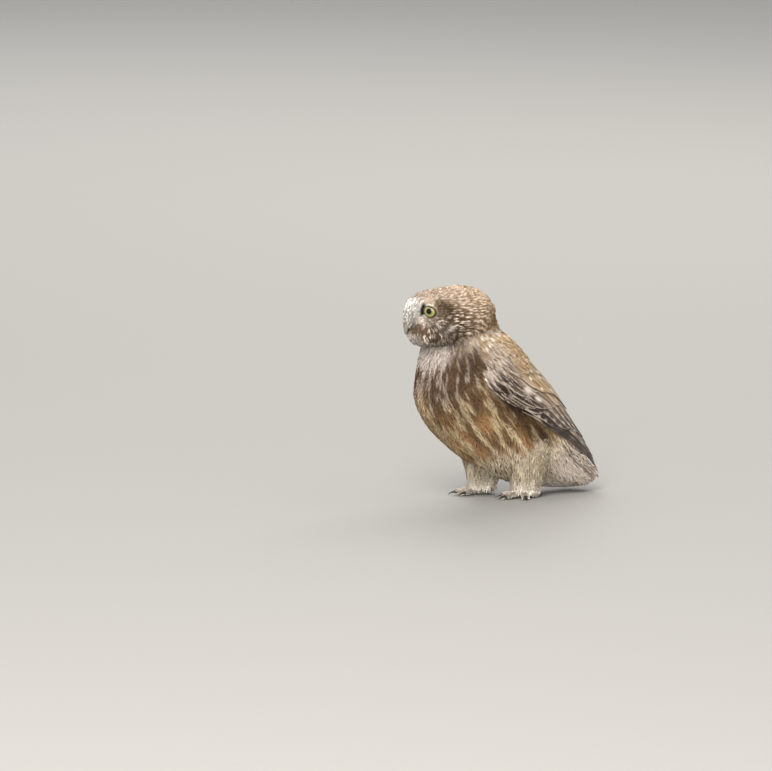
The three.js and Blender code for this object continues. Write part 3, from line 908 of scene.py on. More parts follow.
@dataclass
class Eye:
    """An eye: a ball with the cornea's dome in front, and the dark rim of its lids.

    The bulge is how far ahead of the middle the dome stands; the lids lie on a ball of their own.
    """

    side: Side
    x: float = -72.3
    y: float = 14.3
    z: float = 167.2
    radius: float = 9.0
    cornea: float = 5.9
    bulge: float = 11.0
    pupil: float = 2.4
    lid: float = 9.4
    out: float = math.radians(38)
    iris: tuple[str, str] = ("#58572f", "#908e54")

    @property
    def middle(self) -> Array:
        """Give the ball's middle."""
        return np.array([self.x, self.side.value * self.y, self.z])

    @property
    def axes(self) -> tuple[Array, Array, Array]:
        """Give the way the eye looks, the level way from the bill, and the upright way."""
        ahead = unit(np.array([-math.cos(self.out), self.side.value * math.sin(self.out), 0.03]))
        level = unit(np.cross([0, 0, 1.0], ahead)) * -self.side.value
        return ahead, level, np.cross(ahead, level) * -self.side.value

    def polar(self, points: Array) -> tuple[Array, Array]:
        """Give the distance of points from the eye's axis and their turn round it.

        Args:
            points: Places; those behind the middle count as that much further away.

        Returns:
            Distances, and turns from the level axis towards the upright one.
        """
        ahead, level, upright = self.axes
        apart = points - self.middle
        u, v = apart @ level, apart @ upright
        return np.hypot(u, v) + np.maximum(-(apart @ ahead), 0), np.arctan2(v, u)

    def turned(self, radius: Array, ahead: Array, turn: Array) -> Array:
        """Turn a profile, distances from the axis and ahead of the middle, round the axis."""
        axis, level, upright = self.axes
        spoke = np.cos(turn)[..., None] * level + np.sin(turn)[..., None] * upright
        return self.middle + ahead[..., None] * axis + radius[..., None] * spoke

    def front(self, radius: Array) -> Array:
        """Give how far ahead of the ball's middle the cornea's dome stands."""
        base = math.sqrt(self.radius**2 - self.cornea**2)
        return base + (self.bulge - base) * np.sqrt(np.clip(1 - (radius / self.cornea) ** 2, 0, 1))

    def lid_edge(self, turn: Array) -> Array:
        """Give the lids' edge's distance from the axis: drawn down over the top, long in front."""
        droop = np.clip(np.sin(turn + 0.3), 0, 1) ** 1.5
        corner = bell(wrapped(turn - math.pi * 1.02), 0.35)
        return 5.3 - 1.9 * droop + 0.45 * corner

    def ball(self) -> Sheet:
        """Shape and paint the eye: a quarter ellipse for the dome, then the rest of the ball.

        Iris fibres run out from the pupil to a dark rim.

        Returns:
            The closed eye.
        """
        rim = math.asin(self.cornea / self.radius)
        base = self.radius * math.cos(rim)
        dome = np.linspace(0.0, math.pi / 2, 34)[1:]
        rest = np.linspace(rim, math.pi - 0.01, 26)[1:]
        radius = [[POLE], self.cornea * np.sin(dome), self.radius * np.sin(rest)]
        front = base + (self.bulge - base) * np.cos(dome)
        ahead = [[self.bulge], front, self.radius * np.cos(rest)]
        radius, ahead = np.concatenate(radius)[:, None], np.concatenate(ahead)[:, None]
        radius, ahead, turn = np.broadcast_arrays(radius, ahead, ring(96))
        fibre = 0.6 * grain(3, turn * 9, radius * 0.7) + 0.4 * grain(4, turn * 20, radius * 1.3)
        lit = ease(radius, 2.2, 3.6) * (0.7 + 0.45 * fibre)
        colour = blend(self.iris[0], self.iris[1], lit)
        colour *= (1 - 0.6 * ease(radius, 4.3, 5.2))[..., None]
        colour = blend(colour, "#060503", 1 - ease(radius, self.pupil - 0.15, self.pupil + 0.1))
        colour = blend(colour, "#16110d", np.where(ahead > 0, ease(radius, 5.1, 5.4), 1))
        return ringed(self.turned(radius, ahead, turn), colour).turned(self.side is Side.LEFT)

    def lids(self) -> Sheet:
        """Shape the lids: four rings of dark rim on the dome, four over it, four on their ball.

        Returns:
            The lids, whose dark rim fades into the head's markings.
        """
        turn = ring(72)
        step = np.array([0, 0.03, 0.2, 0.5])[:, None]
        rise = np.array([0, 0.3, 0.5, 0.45])[:, None]
        inner = self.lid_edge(turn) + step
        share = np.array([0.25, 0.5, 0.75, 1.0])[:, None]
        over = inner[-1:] + (6.9 - inner[-1:]) * share
        outer = np.array([7.6, 8.3, 8.9, 9.2])[:, None] + 0 * turn
        radius = np.concatenate([inner, over, outer])
        above = np.where(over < self.cornea, self.front(over) + rise[-1], 0)
        mound = np.sqrt(self.lid**2 - np.concatenate([over, outer]) ** 2)
        ahead = np.concatenate([self.front(inner) + rise, np.maximum(above, mound[:4]), mound[4:]])
        points = self.turned(*np.broadcast_arrays(radius, ahead, turn))
        order = np.arange(len(radius))[:, None] + 0 * turn
        rim = np.zeros(points.shape) + linear("#1a140f")
        shade = blend(rim, head_paint(points), ease(order, 3.2, 5.2))
        return ringed(points, shade).turned(self.side is Side.RIGHT)

    def build(self) -> None:
        """Make the eye and its lids in place of the solid eye."""
        word = self.side.word
        ball = self.ball().piece(f"eyeball_{word}", WetEye())
        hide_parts(f"eye_{word}")
        self.lids().piece(f"lids_{word}", Down("bare_lid_skin"))


EYES = {side: Eye(side) for side in Side}


@dataclass
class Face(Form):
    """The head with the low mounds of the lids round both eyes."""

    mound: float = 10.2

    def settle(self, points: Array, out: float = 0.0) -> Array:
        """Move points onto the head, or onto a mound where that stands further out.

        Args:
            points: Places by the face.
            out: Millimetres out.

        Returns:
            Points.
        """
        base, reach = HEAD.settle(points, out), self.mound + out
        for eye in EYES.values():
            apart = base - eye.middle
            far = np.linalg.norm(apart, axis=-1, keepdims=True)
            base = np.where(far < reach, eye.middle + apart * reach / far, base)
        return base


FACE = Face()


# Markings


def patches(points: Array, rows: list[tuple]) -> tuple[Array, Array, Array]:
    """Blend patches of colour by how near they are, alike on both sides.

    Each weighs as a bell curve of its distance; the result is their weighted mean.

    Args:
        points: Places on the head.
        rows: Place, reach, weight, ground colour, mark colour and the mark's strength.

    Returns:
        Ground colours, mark colours and mark strengths.
    """
    seen = folded(points)
    total = np.full(points.shape[:-1], 1e-6)
    ground, mark = np.zeros(points.shape), np.zeros(points.shape)
    strength = np.zeros(points.shape[:-1])
    for place, reach, weight, under, over, power in rows:
        near = weight * np.exp(-((seen - place) ** 2).sum(-1) / (2 * reach**2))
        total += near
        ground += near[..., None] * linear(under)
        mark += near[..., None] * linear(over)
        strength += near * power
    return ground / total[..., None], mark / total[..., None], strength / total


HEAD_PATCHES = [
    # place (x, |y|, z), reach, weight, ground, mark, strength of the mark
    ((-66, 8, 184), 12, 1.0, "#c1ab99", "#efdfcf", 1.0),  # front crown
    ((-46, 12, 185), 13, 1.0, "#bfa68c", "#efdfcb", 1.0),  # crown
    ((-28, 12, 178), 12, 1.0, "#c8ae8b", "#f6e6d1", 1.0),  # rear crown
    ((-18, 16, 156), 10, 1.2, "#7f5a34", "#d2ba98", 0.45),  # nape
    ((-45, 31, 171), 9, 1.0, "#9a8169", "#ecdac4", 1.0),  # crown's side
    ((-36, 31, 158), 10, 1.0, "#7e6650", "#e3d0bb", 1.0),  # neck's side
    ((-66.7, 29.7, 169.8), 3.2, 3.0, "#563f2a", "#a98c69", 0.6),  # behind the eye
    ((-71.6, 26.5, 167.3), 2.8, 9.0, "#84715a", "#b4a085", 0.5),  # behind the lids
    ((-57, 33, 160), 5.5, 1.8, "#4d3926", "#eddcc8", 1.0),  # ear coverts
    ((-65, 31, 160), 4.5, 1.4, "#796550", "#f2e2cd", 1.0),  # their front
    ((-65.4, 30.8, 153.2), 1.9, 4.0, "#bdae9d", "#ffffff", 1.0),  # moustache's end
    ((-70, 28, 149.7), 1.9, 4.0, "#a08f7c", "#ffffff", 1.0),  # moustache
    ((-72, 26, 155), 4.6, 1.4, "#5b4735", "#fcf1e4", 1.0),  # cheek
    ((-77.5, 20.3, 160.8), 3.0, 3.0, "#a08f7e", "#f6ebdd", 1.0),  # under the lids
    ((-83.9, 13.5, 157.4), 2.7, 5.0, "#d2c4b6", "#fbf4ec", 0.9),  # over the gape
    ((-87.5, 8, 157), 2.2, 3.0, "#9a8f83", "#ddd6cc", 0.8),  # bristles
    ((-85.5, 11.7, 153.6), 1.7, 9.0, "#4c3524", "#7b5f49", 0.4),  # gape
    ((-87, 8.4, 151), 2.4, 6.0, "#644b36", "#94775e", 0.5),  # beside the bill
    ((-83.5, 13.7, 150.8), 2.8, 5.0, "#8f7561", "#bfa690", 0.6),  # under the gape
    ((-85.5, 6, 144.7), 3.8, 3.2, "#878068", "#b1ab92", 0.5),  # chin
    ((-80, 14, 146), 4.2, 1.8, "#66523e", "#f9eede", 1.0),  # fringe
    ((-73, 18, 142), 5.0, 1.2, "#6b5844", "#f6eadb", 1.0),  # fringe's end
    ((-60, 28, 145), 6.0, 2.4, "#4a3929", "#d8c8b3", 0.6),  # under the ear
    ((-48, 30, 146), 7.0, 1.0, "#58452f", "#dccab2", 0.8),  # neck, low
    ((-90, 3, 168), 4.6, 8.0, "#f7f5f1", "#ffffff", 0.5),  # between the eyes
    ((-88.5, 7, 172), 3.4, 7.0, "#f1ede7", "#fcf9f5", 0.5),  # brow's front
    ((-81, 13.3, 173.2), 2.4, 9.0, "#cfc3b3", "#e8dece", 0.6),  # brow
    ((-76.3, 18.8, 174.2), 2.2, 7.0, "#b5a58e", "#eaddc8", 0.8),  # over the eye
    ((-73, 23, 172.4), 2.4, 9.0, "#75634e", "#ad9a80", 0.6),  # brow's end
    ((-88.8, 6.5, 163), 3.3, 7.0, "#eeeae5", "#fdfcfa", 0.5),  # lores
    ((-84.4, 10.6, 164.5), 1.4, 6.0, "#c9c2ba", "#e0dad3", 0.3),  # before the black
]


def eye_turns(points: Array) -> tuple[Array, Array]:
    """Give the distances of points from the axis of their own side's eye, and their turns."""
    left, right = EYES[Side.LEFT].polar(points), EYES[Side.RIGHT].polar(points)
    mine = points[..., 1] < 0
    return np.where(mine, left[0], right[0]), np.where(mine, left[1], right[1])


def face_below(points: Array) -> Array:
    """Tell how much of the lower face a point is: the part whose feathers fan out from the eye."""
    return ease(-points[..., 2], -162, -154) * ease(-points[..., 0], 58, 68)


def head_paint(points: Array) -> Array:
    """Paint the head: patches of ground, and cream drops that point away from the bill or the eye.

    Args:
        points: Places on the head.

    Returns:
        Linear colours.
    """
    ground, mark, strength = patches(points, HEAD_PATCHES)
    way = HEAD.way_of(points)
    along, turn = 30 * np.arccos(np.clip(-way[..., 0], -1, 1)), np.arctan2(way[..., 2], way[..., 1])
    back = ease(points[..., 0], -58, -22)
    crown = ease(points[..., 2], 166, 177)
    size = (0.68 + 0.15 * back + 0.3 * crown, 1.9 + 0.4 * back)
    girth = lambda a: 30 * np.sin(np.clip(a / 30, 0.1, 3.04))
    drops = flecks(turn, along, girth, (2.3, 4.6), size, 41)
    far, round_eye = eye_turns(points)
    sway = mottle(points / 3.5, 48) - 0.5
    bent, beyond = round_eye + 0.25 * sway, far + 1.8 * sway
    rays = flecks(bent, beyond, lambda a: np.clip(a, 2, 60), (2.4, 5.0), (0.75, 2.1), 47)
    lower = face_below(points)
    clump = grain(46, round_eye * 5, far / 5) - 0.5
    shape = np.clip(drops * (1 - lower) + rays * lower * (1 + 1.8 * clump), 0, 1)
    lines = grain(43, turn * 30 / 0.9, along / 4.0) * (1 - lower)
    lines += grain(44, round_eye * 18, far / 4.0) * lower
    colour = blend(ground, mark, strength * shape)
    colour = colour * ((0.82 + 0.3 * lines) * (1 + 0.7 * lower * clump))[..., None]
    # black on the lids' edge, and a wedge of it in front of the eye
    edge = 1 - ease(far - EYES[Side.LEFT].lid_edge(round_eye), 0.3, 0.85)
    wedge = np.abs(wrapped(round_eye - 3.02)) + 0.15 * np.abs(clump)
    patch = (1 - ease(wedge, 0.5, 0.85)) * (1 - ease(far, 8.8, 10.8))
    return blend(colour, "#0e0a07", np.maximum(edge, patch) * (points[..., 0] < -60))


def bands(points: Array) -> tuple[Array, Array, Array]:
    """Give places along the trunk, degrees round it from the belly, and the streaks' places.

    These shift with the distance along, so that on the flanks the streaks run down.

    Args:
        points: Places on the trunk.

    Returns:
        Millimetres along, degrees from 0 at the belly to 180, and signed millimetres round.
    """
    at, turn = TRUNK.turn_of(points)
    signed = np.degrees(wrapped(turn + math.pi / 2))
    belly = np.abs(signed)
    return at, belly, np.sign(signed) * 0.75 * (belly + 0.16 * at * ease(belly, 15, 65))


def flow(points: Array) -> Array:
    """Give how the trunk's feathers lie: along the body, drooping on the flanks."""
    _, belly, _ = bands(points)
    droop = 0.22 * ease(belly, 15, 65) * (1 - ease(belly, 104, 128))
    return unit(BODY_LIE - droop[..., None] * np.array([0, 0, 1.0]))


def trunk_paint(points: Array) -> Array:
    """Paint the trunk: smooth throat, blotched breast, streaked flanks, pale vent, spotted back.

    Streaks are stretched noise, short on the breast and long below. All is blended by cubic steps
    along the body and round it.

    Args:
        points: Places on the trunk.

    Returns:
        Linear colours.
    """
    at, belly, across = bands(points)
    down = 5.8 * np.log1p(np.maximum(at + 36, 0) / 13)
    sway = grain(5, across / 17, down * 0.8) - 0.5
    broad = grain(11, across / 3.1 + 1.3 * sway, down)
    fine = grain(12, across / 1.5 + 1.6 * sway, down * 1.7)
    wide = grain(23, across / 13, down * 0.7)
    # breast and belly
    more = 0.035 * ease(at, 20, 40) * ease(belly, 25, 50)
    mixed = 0.54 * broad + 0.34 * fine + 0.12 * wide + more
    dark = ease(mixed + 0.07 * ease(belly, 30, 60) * (1 - ease(at, 14, 34)), 0.37, 0.57)
    rufous = ease(wide, 0.3, 0.65) * ease(at, 4, 34)
    brown = blend("#543a20", "#84603a", rufous)
    pale = blend("#a4958a", "#b5a281", ease(at, 0, 26))
    tone = 0.88 + (0.28 + 0.5 * dark) * ease(at, 26, 60) + 0.15 * ease(at, 60, 95)
    colour = blend(pale, brown, 0.9 * dark) * tone[..., None]
    front = ease(at, -8, 10) * (1 - ease(belly, 6, 26)) * (1 - 0.45 * dark)
    colour = blend(colour, "#b29b78", front)
    shoulder = np.exp(-(((at + 14) / 5.5) ** 2) - ((belly - 97) / 20) ** 2) * (0.7 + 0.3 * fine)
    colour = blend(colour, "#cdbda8", 0.9 * shoulder)
    shadow = ease(belly, 74, 92) * ease(at, 18, 42) * (1 - ease(at, 98, 116))
    colour = blend(colour, "#3d2c18", shadow * (0.6 + 0.3 * dark))
    # vent and undertail
    low = points[..., 2] + 9 * (broad - 0.5) + 6 * (fine - 0.5)
    vent = (1 - ease(low, 35, 51)) * ease(points[..., 0], -33, -13)
    vent = np.maximum(vent, ease(at + 10 * (0.5 - broad), 103, 117) * (belly < 150))
    streaks = 0.5 * ease(fine, 0.5, 0.85) * (1 - ease(at, 120, 145))
    cream = blend("#dfd0ba", "#a88f6b", streaks)
    # painted shade: the cream darkens low down, between the legs and the undertail
    cream = blend(cream, "#b9aa93", 0.8 * (1 - ease(points[..., 2], 22, 36)))
    cream = blend(cream, "#b9ada1", ease(at, 114, 134))
    # painted shade in the crease between the leg and the undertail
    crease = bell(belly - 84 + 0.9 * (at - 110), 8) * ease(at, 98, 110) * (1 - ease(at, 138, 150))
    cream = blend(cream, "#8a775e", 0.6 * crease)
    colour = blend(colour, cream, vent)
    # throat, back and nape
    throat = (1 - ease(at + 9 * (broad - 0.5), -17, -8)) * (1 - ease(belly, 46, 66))
    colour = blend(colour, blend("#c6bbb3", "#a1958a", 0.4 * fine), throat)
    back = ease(belly, 100, 118) * (1 - ease(at, 104, 118) * (1 - ease(belly, 146, 164)))
    turn = TRUNK.turn_of(points)[1]
    spots = flecks(turn, at, 44.0, (7.5, 9.0), (1.7, 2.4), 61)
    ground = blend("#9c7f5a", "#ad8f68", broad)
    colour = blend(colour, blend(ground, "#cbbda8", spots), back)
    nape = ease(belly, 94, 108) * (1 - ease(at, 0, 12))
    drops = flecks(turn, at, 34.0, (4.2, 5.6), (1.55, 2.2), 67)
    ground = blend("#a58a69", "#c9b497", broad)
    return blend(colour, blend(ground, "#efe7dd", drops), nape)


def wing_paint(wing: Wing, points: Array) -> Array:
    """Paint a wing's ground: warm brown by the back, grey-brown below it, a dark lower edge.

    Args:
        wing: Which wing.
        points: Places on it.

    Returns:
        Linear colours.
    """
    at, across = wing.across_of(points)
    broad = grain(71, across * 9, at / 26)
    fine = grain(72, across * 40, at / 9)
    colour = blend("#3d2f24", "#8a7665", ease(across + 0.08 * (broad - 0.5), 0.13, 0.33))
    upper = ease(across + 0.1 * (broad - 0.5), 0.38, 0.52) * (1 - 0.75 * ease(at, 84, 118))
    colour = blend(colour, "#a1855f", upper)
    front = (1 - ease(at, 12, 30)) * (1 - ease(across, 0.5, 0.75))
    colour = blend(colour, "#d2c4b8", 0.85 * front)
    colour = blend(colour, "#281c12", (1 - ease(across, 0.02, 0.11)) * ease(at, 30, 60))
    colour = blend(colour, "#3c2e23", 0.88 * ease(at, 84, 112))
    return colour * (0.8 + 0.4 * (0.5 * broad + 0.5 * fine))[..., None]


def wing_spots(wing: Wing, points: Array) -> Array:
    """Find the two large white spots in the middle of a wing, soft ovals.

    Args:
        wing: Which wing.
        points: Places on it.

    Returns:
        1 in a spot, 0 outside.
    """
    at, across = wing.across_of(points)
    first = np.hypot((at - 51) / 6, (across - 0.3) / 0.06)
    second = np.hypot((at - 65) / 4.6, (across - 0.28) / 0.04)
    return np.maximum(1 - ease(first, 0.4, 1.2), 1 - ease(second, 0.4, 1.2))


def marked(style: Mark, share: Array, web: Array, phase: Array) -> Array:
    """Say how much of the mark's colour each point of a feather takes.

    Args:
        style: How the mark lies.
        share: From 0 at the root to 1 at the tip.
        web: From -1 at the lower edge to 1 at the upper.
        phase: A random number for each feather.

    Returns:
        Shares of the mark's colour.
    """
    off = np.abs(web)
    if style is Mark.EDGE:
        return np.maximum(ease(-web, 0.45, 0.85), ease(share, 0.88, 0.98)) * ease(share, 0.1, 0.4)
    if style is Mark.SPOT:
        oval = np.hypot((web + 0.1) / 0.36, (np.abs(share - 0.7) - 0.15) / 0.045)
        edges = np.maximum(ease(off, 0.72, 0.95), ease(share, 0.93, 0.99))
        return np.maximum(1 - ease(oval, 0.7, 1.2), 0.35 * edges)
    if style is Mark.BARS:
        bar = np.cos(math.tau * (share * 6.2 + 0.15 * phase + 0.06 * off))
        return np.maximum(ease(bar, 0.3, 0.8) * ease(off, 0.05, 0.4), 0.6 * ease(share, 0.95, 0.99))
    row = np.cos(math.tau * (share * 5.2 + 0.3 * phase))
    spot = 0.8 * ease(row, 0.1, 0.7) * ease(-web, 0.35, 0.7)
    return np.maximum(spot, 0.9 * ease(-web, 0.8, 0.92))


# Small feathers


@dataclass
class Lot:
    """A lot of small feathers: where they root, how they lie, their sizes and their paint.

    The hug is how closely they follow the form, and vary how much they differ in tone.
    """

    roots: Array
    lie: Array
    length: Array
    width: Array
    lift: Array
    bake: Array
    paint: Callable[[Array], Array]
    rows: int = 6
    columns: int = 5
    sink: float = 2.3
    hug: Array | float = 1.0
    arch: float = 0.14
    vary: float = 0.11
    seed: int = 1
    normals: Array | None = None

    def sheet(self, form: Form) -> Sheet:
        """Grow every feather of the lot on a form.

        A feather is a leaf on the tangent plane, whose fringe ends unevenly. Its points settle on
        the form and rise from under the skin at the root to the tip.

        Args:
            form: The surface that they grow on.

        Returns:
            All of them in one sheet.
        """
        rng = np.random.default_rng(self.seed)
        count = len(self.roots)
        share = np.linspace(0, 1, self.rows)[None, :, None]
        web = np.linspace(-1, 1, self.columns)[None, None, :]
        long, wide, lift = (size[:, None, None] for size in (self.length, self.width, self.lift))
        normal = facing(form, self.roots) if self.normals is None else self.normals
        lie = unit(self.lie - normal * (self.lie * normal).sum(-1, keepdims=True))
        aside = np.cross(normal, lie)[:, None, None]
        lie, normal = lie[:, None, None], normal[:, None, None]
        span = (1 - 0.38 * web**2) * (1 - 0.2 * rng.random((count, 1, self.columns)))
        reach = share * span * long
        leaf = (0.4 + 0.6 * ease(share, 0, 0.4)) * (1 - 0.72 * ease(share, 0.5, 1.0))
        bend = 0.08 * rng.normal(size=(count, 1, 1)) * long * share**2
        off = web * leaf * wide + bend
        flat = self.roots[:, None, None] + lie * reach[..., None] + aside * off[..., None]
        footing = form.settle(flat)
        rise = lift * (share**1.1 + 0.09 * rng.normal(size=(count, 1, 1)) * share)
        bow = self.arch * wide * (1 - web**2) * ease(share, 0.1, 0.5)
        laid = flat + (footing - flat) * np.reshape(self.hug, (-1, 1, 1, 1))
        points = laid + normal * (rise + bow - self.sink)[..., None]
        tint = 1 + self.vary * (2 * rng.random((count, 1, 1)) - 1)
        shade = (0.86 + 0.14 * ease(share, 0.1, 0.6)) * tint
        colours = np.clip(self.paint(footing) * shade[..., None], 0, 1)
        bake = self.bake[:, None, None] + stacked(0.0015 * web, 0.003 * share)
        return feathered(points, colours, stacked(web * wide, reach), bake, True)


def spread(count: int) -> Array:
    """Give evenly spread pairs of numbers from 0 to 1, by steps of two irrational shares."""
    steps = np.arange(count)[:, None] * np.array([0.7548776662466927, 0.5698402909980532])
    return (steps + 0.5) % 1


@dataclass
class Seam(Form):
    """The form over the join of head and trunk, which fills the crease between them."""

    soft: float = 0.14

    def settle(self, points: Array, out: float = 0.0) -> Array:
        """Move points onto the head or the trunk, whichever is nearer, blended between."""
        share = ease(HEAD.depth(points) - TRUNK.depth(points), -self.soft, self.soft)[..., None]
        return HEAD.settle(points, out) * (1 - share) + TRUNK.settle(points, out) * share


@dataclass
class Shoulder(Form):
    """The trunk with the wings' front ends on it, blended so that feathers run over the join."""

    def settle(self, points: Array, out: float = 0.0) -> Array:
        """Move points onto the trunk, or onto a wing where they lie over it.

        Args:
            points: Places by the shoulders.
            out: Millimetres out.

        Returns:
            Points.
        """
        base = TRUNK.settle(points, out)
        for side, wing in WINGS.items():
            _, across = wing.across_of(points)
            along = POSTURE.read(points)[0]
            share = ease(along, -9, 1) * ease(across, -0.2, 0.05) * (1 - ease(across, 0.95, 1.2))
            share = share * (np.sign(points[..., 1]) == side.value)
            base = base + (wing.settle(points, out) - base) * share[..., None]
        return base


@dataclass
class HeadCoat:
    """The small feathers of the head: fine on the face, longer behind, and a ruff over the neck."""

    finish: Finish = Plumage("small_head_feathers", barb_mm=0.45)
    face_count: int = 7600
    rest_count: int = 9000
    ruff_tries: int = 60000
    ruff_counts: tuple[int, int] = (1100, 2000)

    def lies(self, points: Array) -> Array:
        """Give how the feathers lie: away from the bill, and from the eye on the lower face.

        Args:
            points: Places on the head.

        Returns:
            Unit directions.
        """
        from_bill = unit(points - np.array([-97.0, 0, 163.0]))
        sign = np.where(points[..., 1:2] < 0, -1, 1)
        eye = np.concatenate([-76.0 + 0 * sign, 17.0 * sign, 167.6 + 0 * sign], -1)
        apart = points - eye
        near = 1 - ease(np.linalg.norm(apart, axis=-1), 10, 17)
        return unit(from_bill + (2.2 * near + 2.6 * face_below(points))[..., None] * unit(apart))

    def roots(self, count: int, front: bool) -> Array:
        """Spread roots over the face or the rest of the head, clear of the eyes and the bill.

        Args:
            count: How many to try.
            front: Whether it is the face.

        Returns:
            The roots that are kept.
        """
        pair = spread(count)
        level = 1 - 2 * pair[:, 0]
        level = 1 - (1 - level) * 0.43 if front else level
        wide, turn = np.sqrt(np.maximum(0, 1 - level**2)), math.tau * pair[:, 1]
        way = np.stack([-level, wide * np.cos(turn), wide * np.sin(turn)], -1)
        points = FACE.settle(HEAD.point(way)) if front else HEAD.point(way)
        far, turn = eye_turns(points)
        keep = ~TRUNK.holds(points, 4.5) & (far > EYES[Side.LEFT].lid_edge(turn) + 0.75)
        x, y, z = points.T
        keep &= ~((x < -84) & (np.abs(y) < 3.6) & (np.abs(z - 152.5) < 7.0))
        keep &= (x < -66) if front else (x > -69)
        return points[keep]

    def lot(self, roots: Array, seed: int, *sizes: Array, **extra: object) -> Lot:
        """Make a lot of the head's feathers, with their places on its unwrap.

        Args:
            roots: Where they grow.
            seed: Which random differences.
            sizes: Lengths, half widths and lifts.
            extra: Other fields.

        Returns:
            The lot.
        """
        way = HEAD.way_of(roots)
        turn = np.arctan2(way[:, 2], way[:, 1]) / math.tau + 0.5
        bake = stacked(turn, np.arccos(np.clip(-way[:, 0], -1, 1)) / math.pi) * 0.99
        return Lot(roots, self.lies(roots), *sizes, bake, head_paint, seed=seed, **extra)

    def face(self) -> Sheet:
        """Grow the face: very short by the lids, longer and looser over the brows and lores.

        Returns:
            Its feathers.
        """
        roots = self.roots(self.face_count, True)
        rng = np.random.default_rng(8)
        size = 0.8 + 0.4 * rng.random(len(roots))
        far = ease(eye_turns(roots)[0], 6.5, 13)
        white = np.exp(-((roots - [-88, 0, 171]) ** 2 / [60, 300, 40]).sum(-1))
        length = (2.4 + 2.2 * far + 1.8 * white) * size
        lift = 1.4 + 0.5 * far + 1.8 * white * rng.random(len(roots))
        width = (0.5 + 0.32 * far) * size
        extra = {"rows": 5, "columns": 4, "sink": 1.4, "arch": 0.15}
        return self.lot(roots, 8, length, width, lift, **extra).sheet(FACE)

    def rest(self) -> Sheet:
        """Grow the crown, the sides and the nape.

        Returns:
            Their feathers.
        """
        roots = self.roots(self.rest_count, False)
        rng = np.random.default_rng(7)
        size = 0.8 + 0.4 * rng.random(len(roots))
        back = ease(roots[:, 0], -50, -16)
        length, width = (4.8 + 2.6 * back) * size, (0.85 + 0.45 * back) * size
        lift = 1.2 + 0.9 * rng.random(len(roots))
        return self.lot(roots, 7, length, width, lift, rows=5, sink=1.8, arch=0.2).sheet(HEAD)

    def ruff(self) -> Sheet:
        """Grow the looser feathers along the head's lower edge, which hang over the throat.

        Returns:
            Those behind and those of the fringe under the cheeks.
        """
        ways = unit(np.random.default_rng(9).normal(size=(self.ruff_tries, 3)))
        roots = HEAD.point(ways)
        near, (x, _, z) = TRUNK.depth(roots), roots.T
        behind = (near > 0.97) & (near < 1.2) & (z < 172) & (x > -62)
        fringe = (z > 136.5) & (z < 150) & (x < -54) & ~TRUNK.holds(roots, -1)
        parts = zip((behind, fringe), self.ruff_counts)
        roots = np.concatenate([roots[part][:count] for part, count in parts])
        rng = np.random.default_rng(10)
        front = ease(-roots[:, 0], 50, 66)[:, None]
        lie = BODY_LIE * (1 - front) + front * (0.7 * self.lies(roots) + [0.1, 0, -0.9])
        size = 0.7 + 0.6 * rng.random(len(roots))
        length = (7.0 + 1.5 * front[:, 0]) * size
        lift = 2.0 + 1.2 * rng.random(len(roots))
        lot = self.lot(roots, 11, length, 1.0 * size, lift, sink=1.4, hug=1 - 0.65 * front)
        lot.lie = lie + 0.14 * rng.normal(size=lie.shape)
        lot.paint = self.ruff_paint
        return lot.sheet(Seam())

    def ruff_paint(self, points: Array) -> Array:
        """Blend from the head's markings to the trunk's, outwards from the head."""
        below = ease(HEAD.depth(points), 1.03, 1.16)
        return blend(head_paint(points), trunk_paint(points), below)

    def build(self) -> None:
        """Grow the three lots."""
        lots = {"face_coat": self.face, "head_coat": self.rest, "ruff_coat": self.ruff}
        for name, grow in lots.items():
            sheet = grow()
            sheet.piece(name, self.finish)


@dataclass
class Region:
    """A region of the trunk's feathers: a stretch along the body and a band round it.

    The band is in degrees from the belly's middle. A tucked region goes on under the wings' rear.
    """

    name: str
    count: int
    along: tuple[float, float]
    belly: tuple[float, float]
    length: float
    width: float
    lift: float
    slot: str = "feather"
    sink: float = 2.2
    droop: float = 0.0
    hug: float = 1.0
    rows: int = 5
    tucked: bool = False
    form: Form = field(default_factory=lambda: TRUNK)

    def roots(self) -> tuple[Array, Array]:
        """Spread roots evenly over the region, where neither the head nor a wing covers it.

        Returns:
            The roots, and their places on the bake map.
        """
        pair = spread(self.count)
        at = self.along[0] + (self.along[1] - self.along[0]) * pair[:, 0]
        low, high = self.belly
        side = 2 * pair[:, 1] - 1
        belly = np.where(side < 0, -1, 1) * (low + (high - low) * np.abs(side))
        turn = np.radians(belly - 90)
        wide = np.maximum(spline(TRUNK.stations, 3, at), 1)
        keep = np.random.default_rng(self.count).random(self.count) < wide / wide.max()
        points = self.form.settle(TRUNK.point(at, turn))
        keep &= ~HEAD.holds(points, 3.5)
        for side, wing in WINGS.items():
            along, across = wing.across_of(points)
            rear = 112 if self.tucked else 150
            under = (across > 0.06) & (across < 0.9) & (along > 8) & (along < rear)
            keep &= ~(under & (np.sign(points[:, 1]) == side.value))
        return points[keep], pair[keep, ::-1] * 0.99

    def build(self, seed: int) -> None:
        """Grow the region's feathers along the body.

        Args:
            seed: Which random differences.
        """
        rng = np.random.default_rng(seed)
        roots, bake = self.roots()
        count = len(roots)
        size = 0.78 + 0.44 * rng.random(count)
        droop = self.droop * np.array([0.3, 0, 1.0])
        lie = flow(roots) + 0.07 * rng.normal(size=(count, 3)) - droop
        lift = self.lift * (0.8 + 0.4 * rng.random(count))
        lot = Lot(
            roots, lie, self.length * size, self.width * size, lift, bake, trunk_paint,
            rows=self.rows, sink=self.sink, hug=self.hug, seed=seed,
        )
        lot.sheet(self.form).piece(self.name, BODY_FINISH)


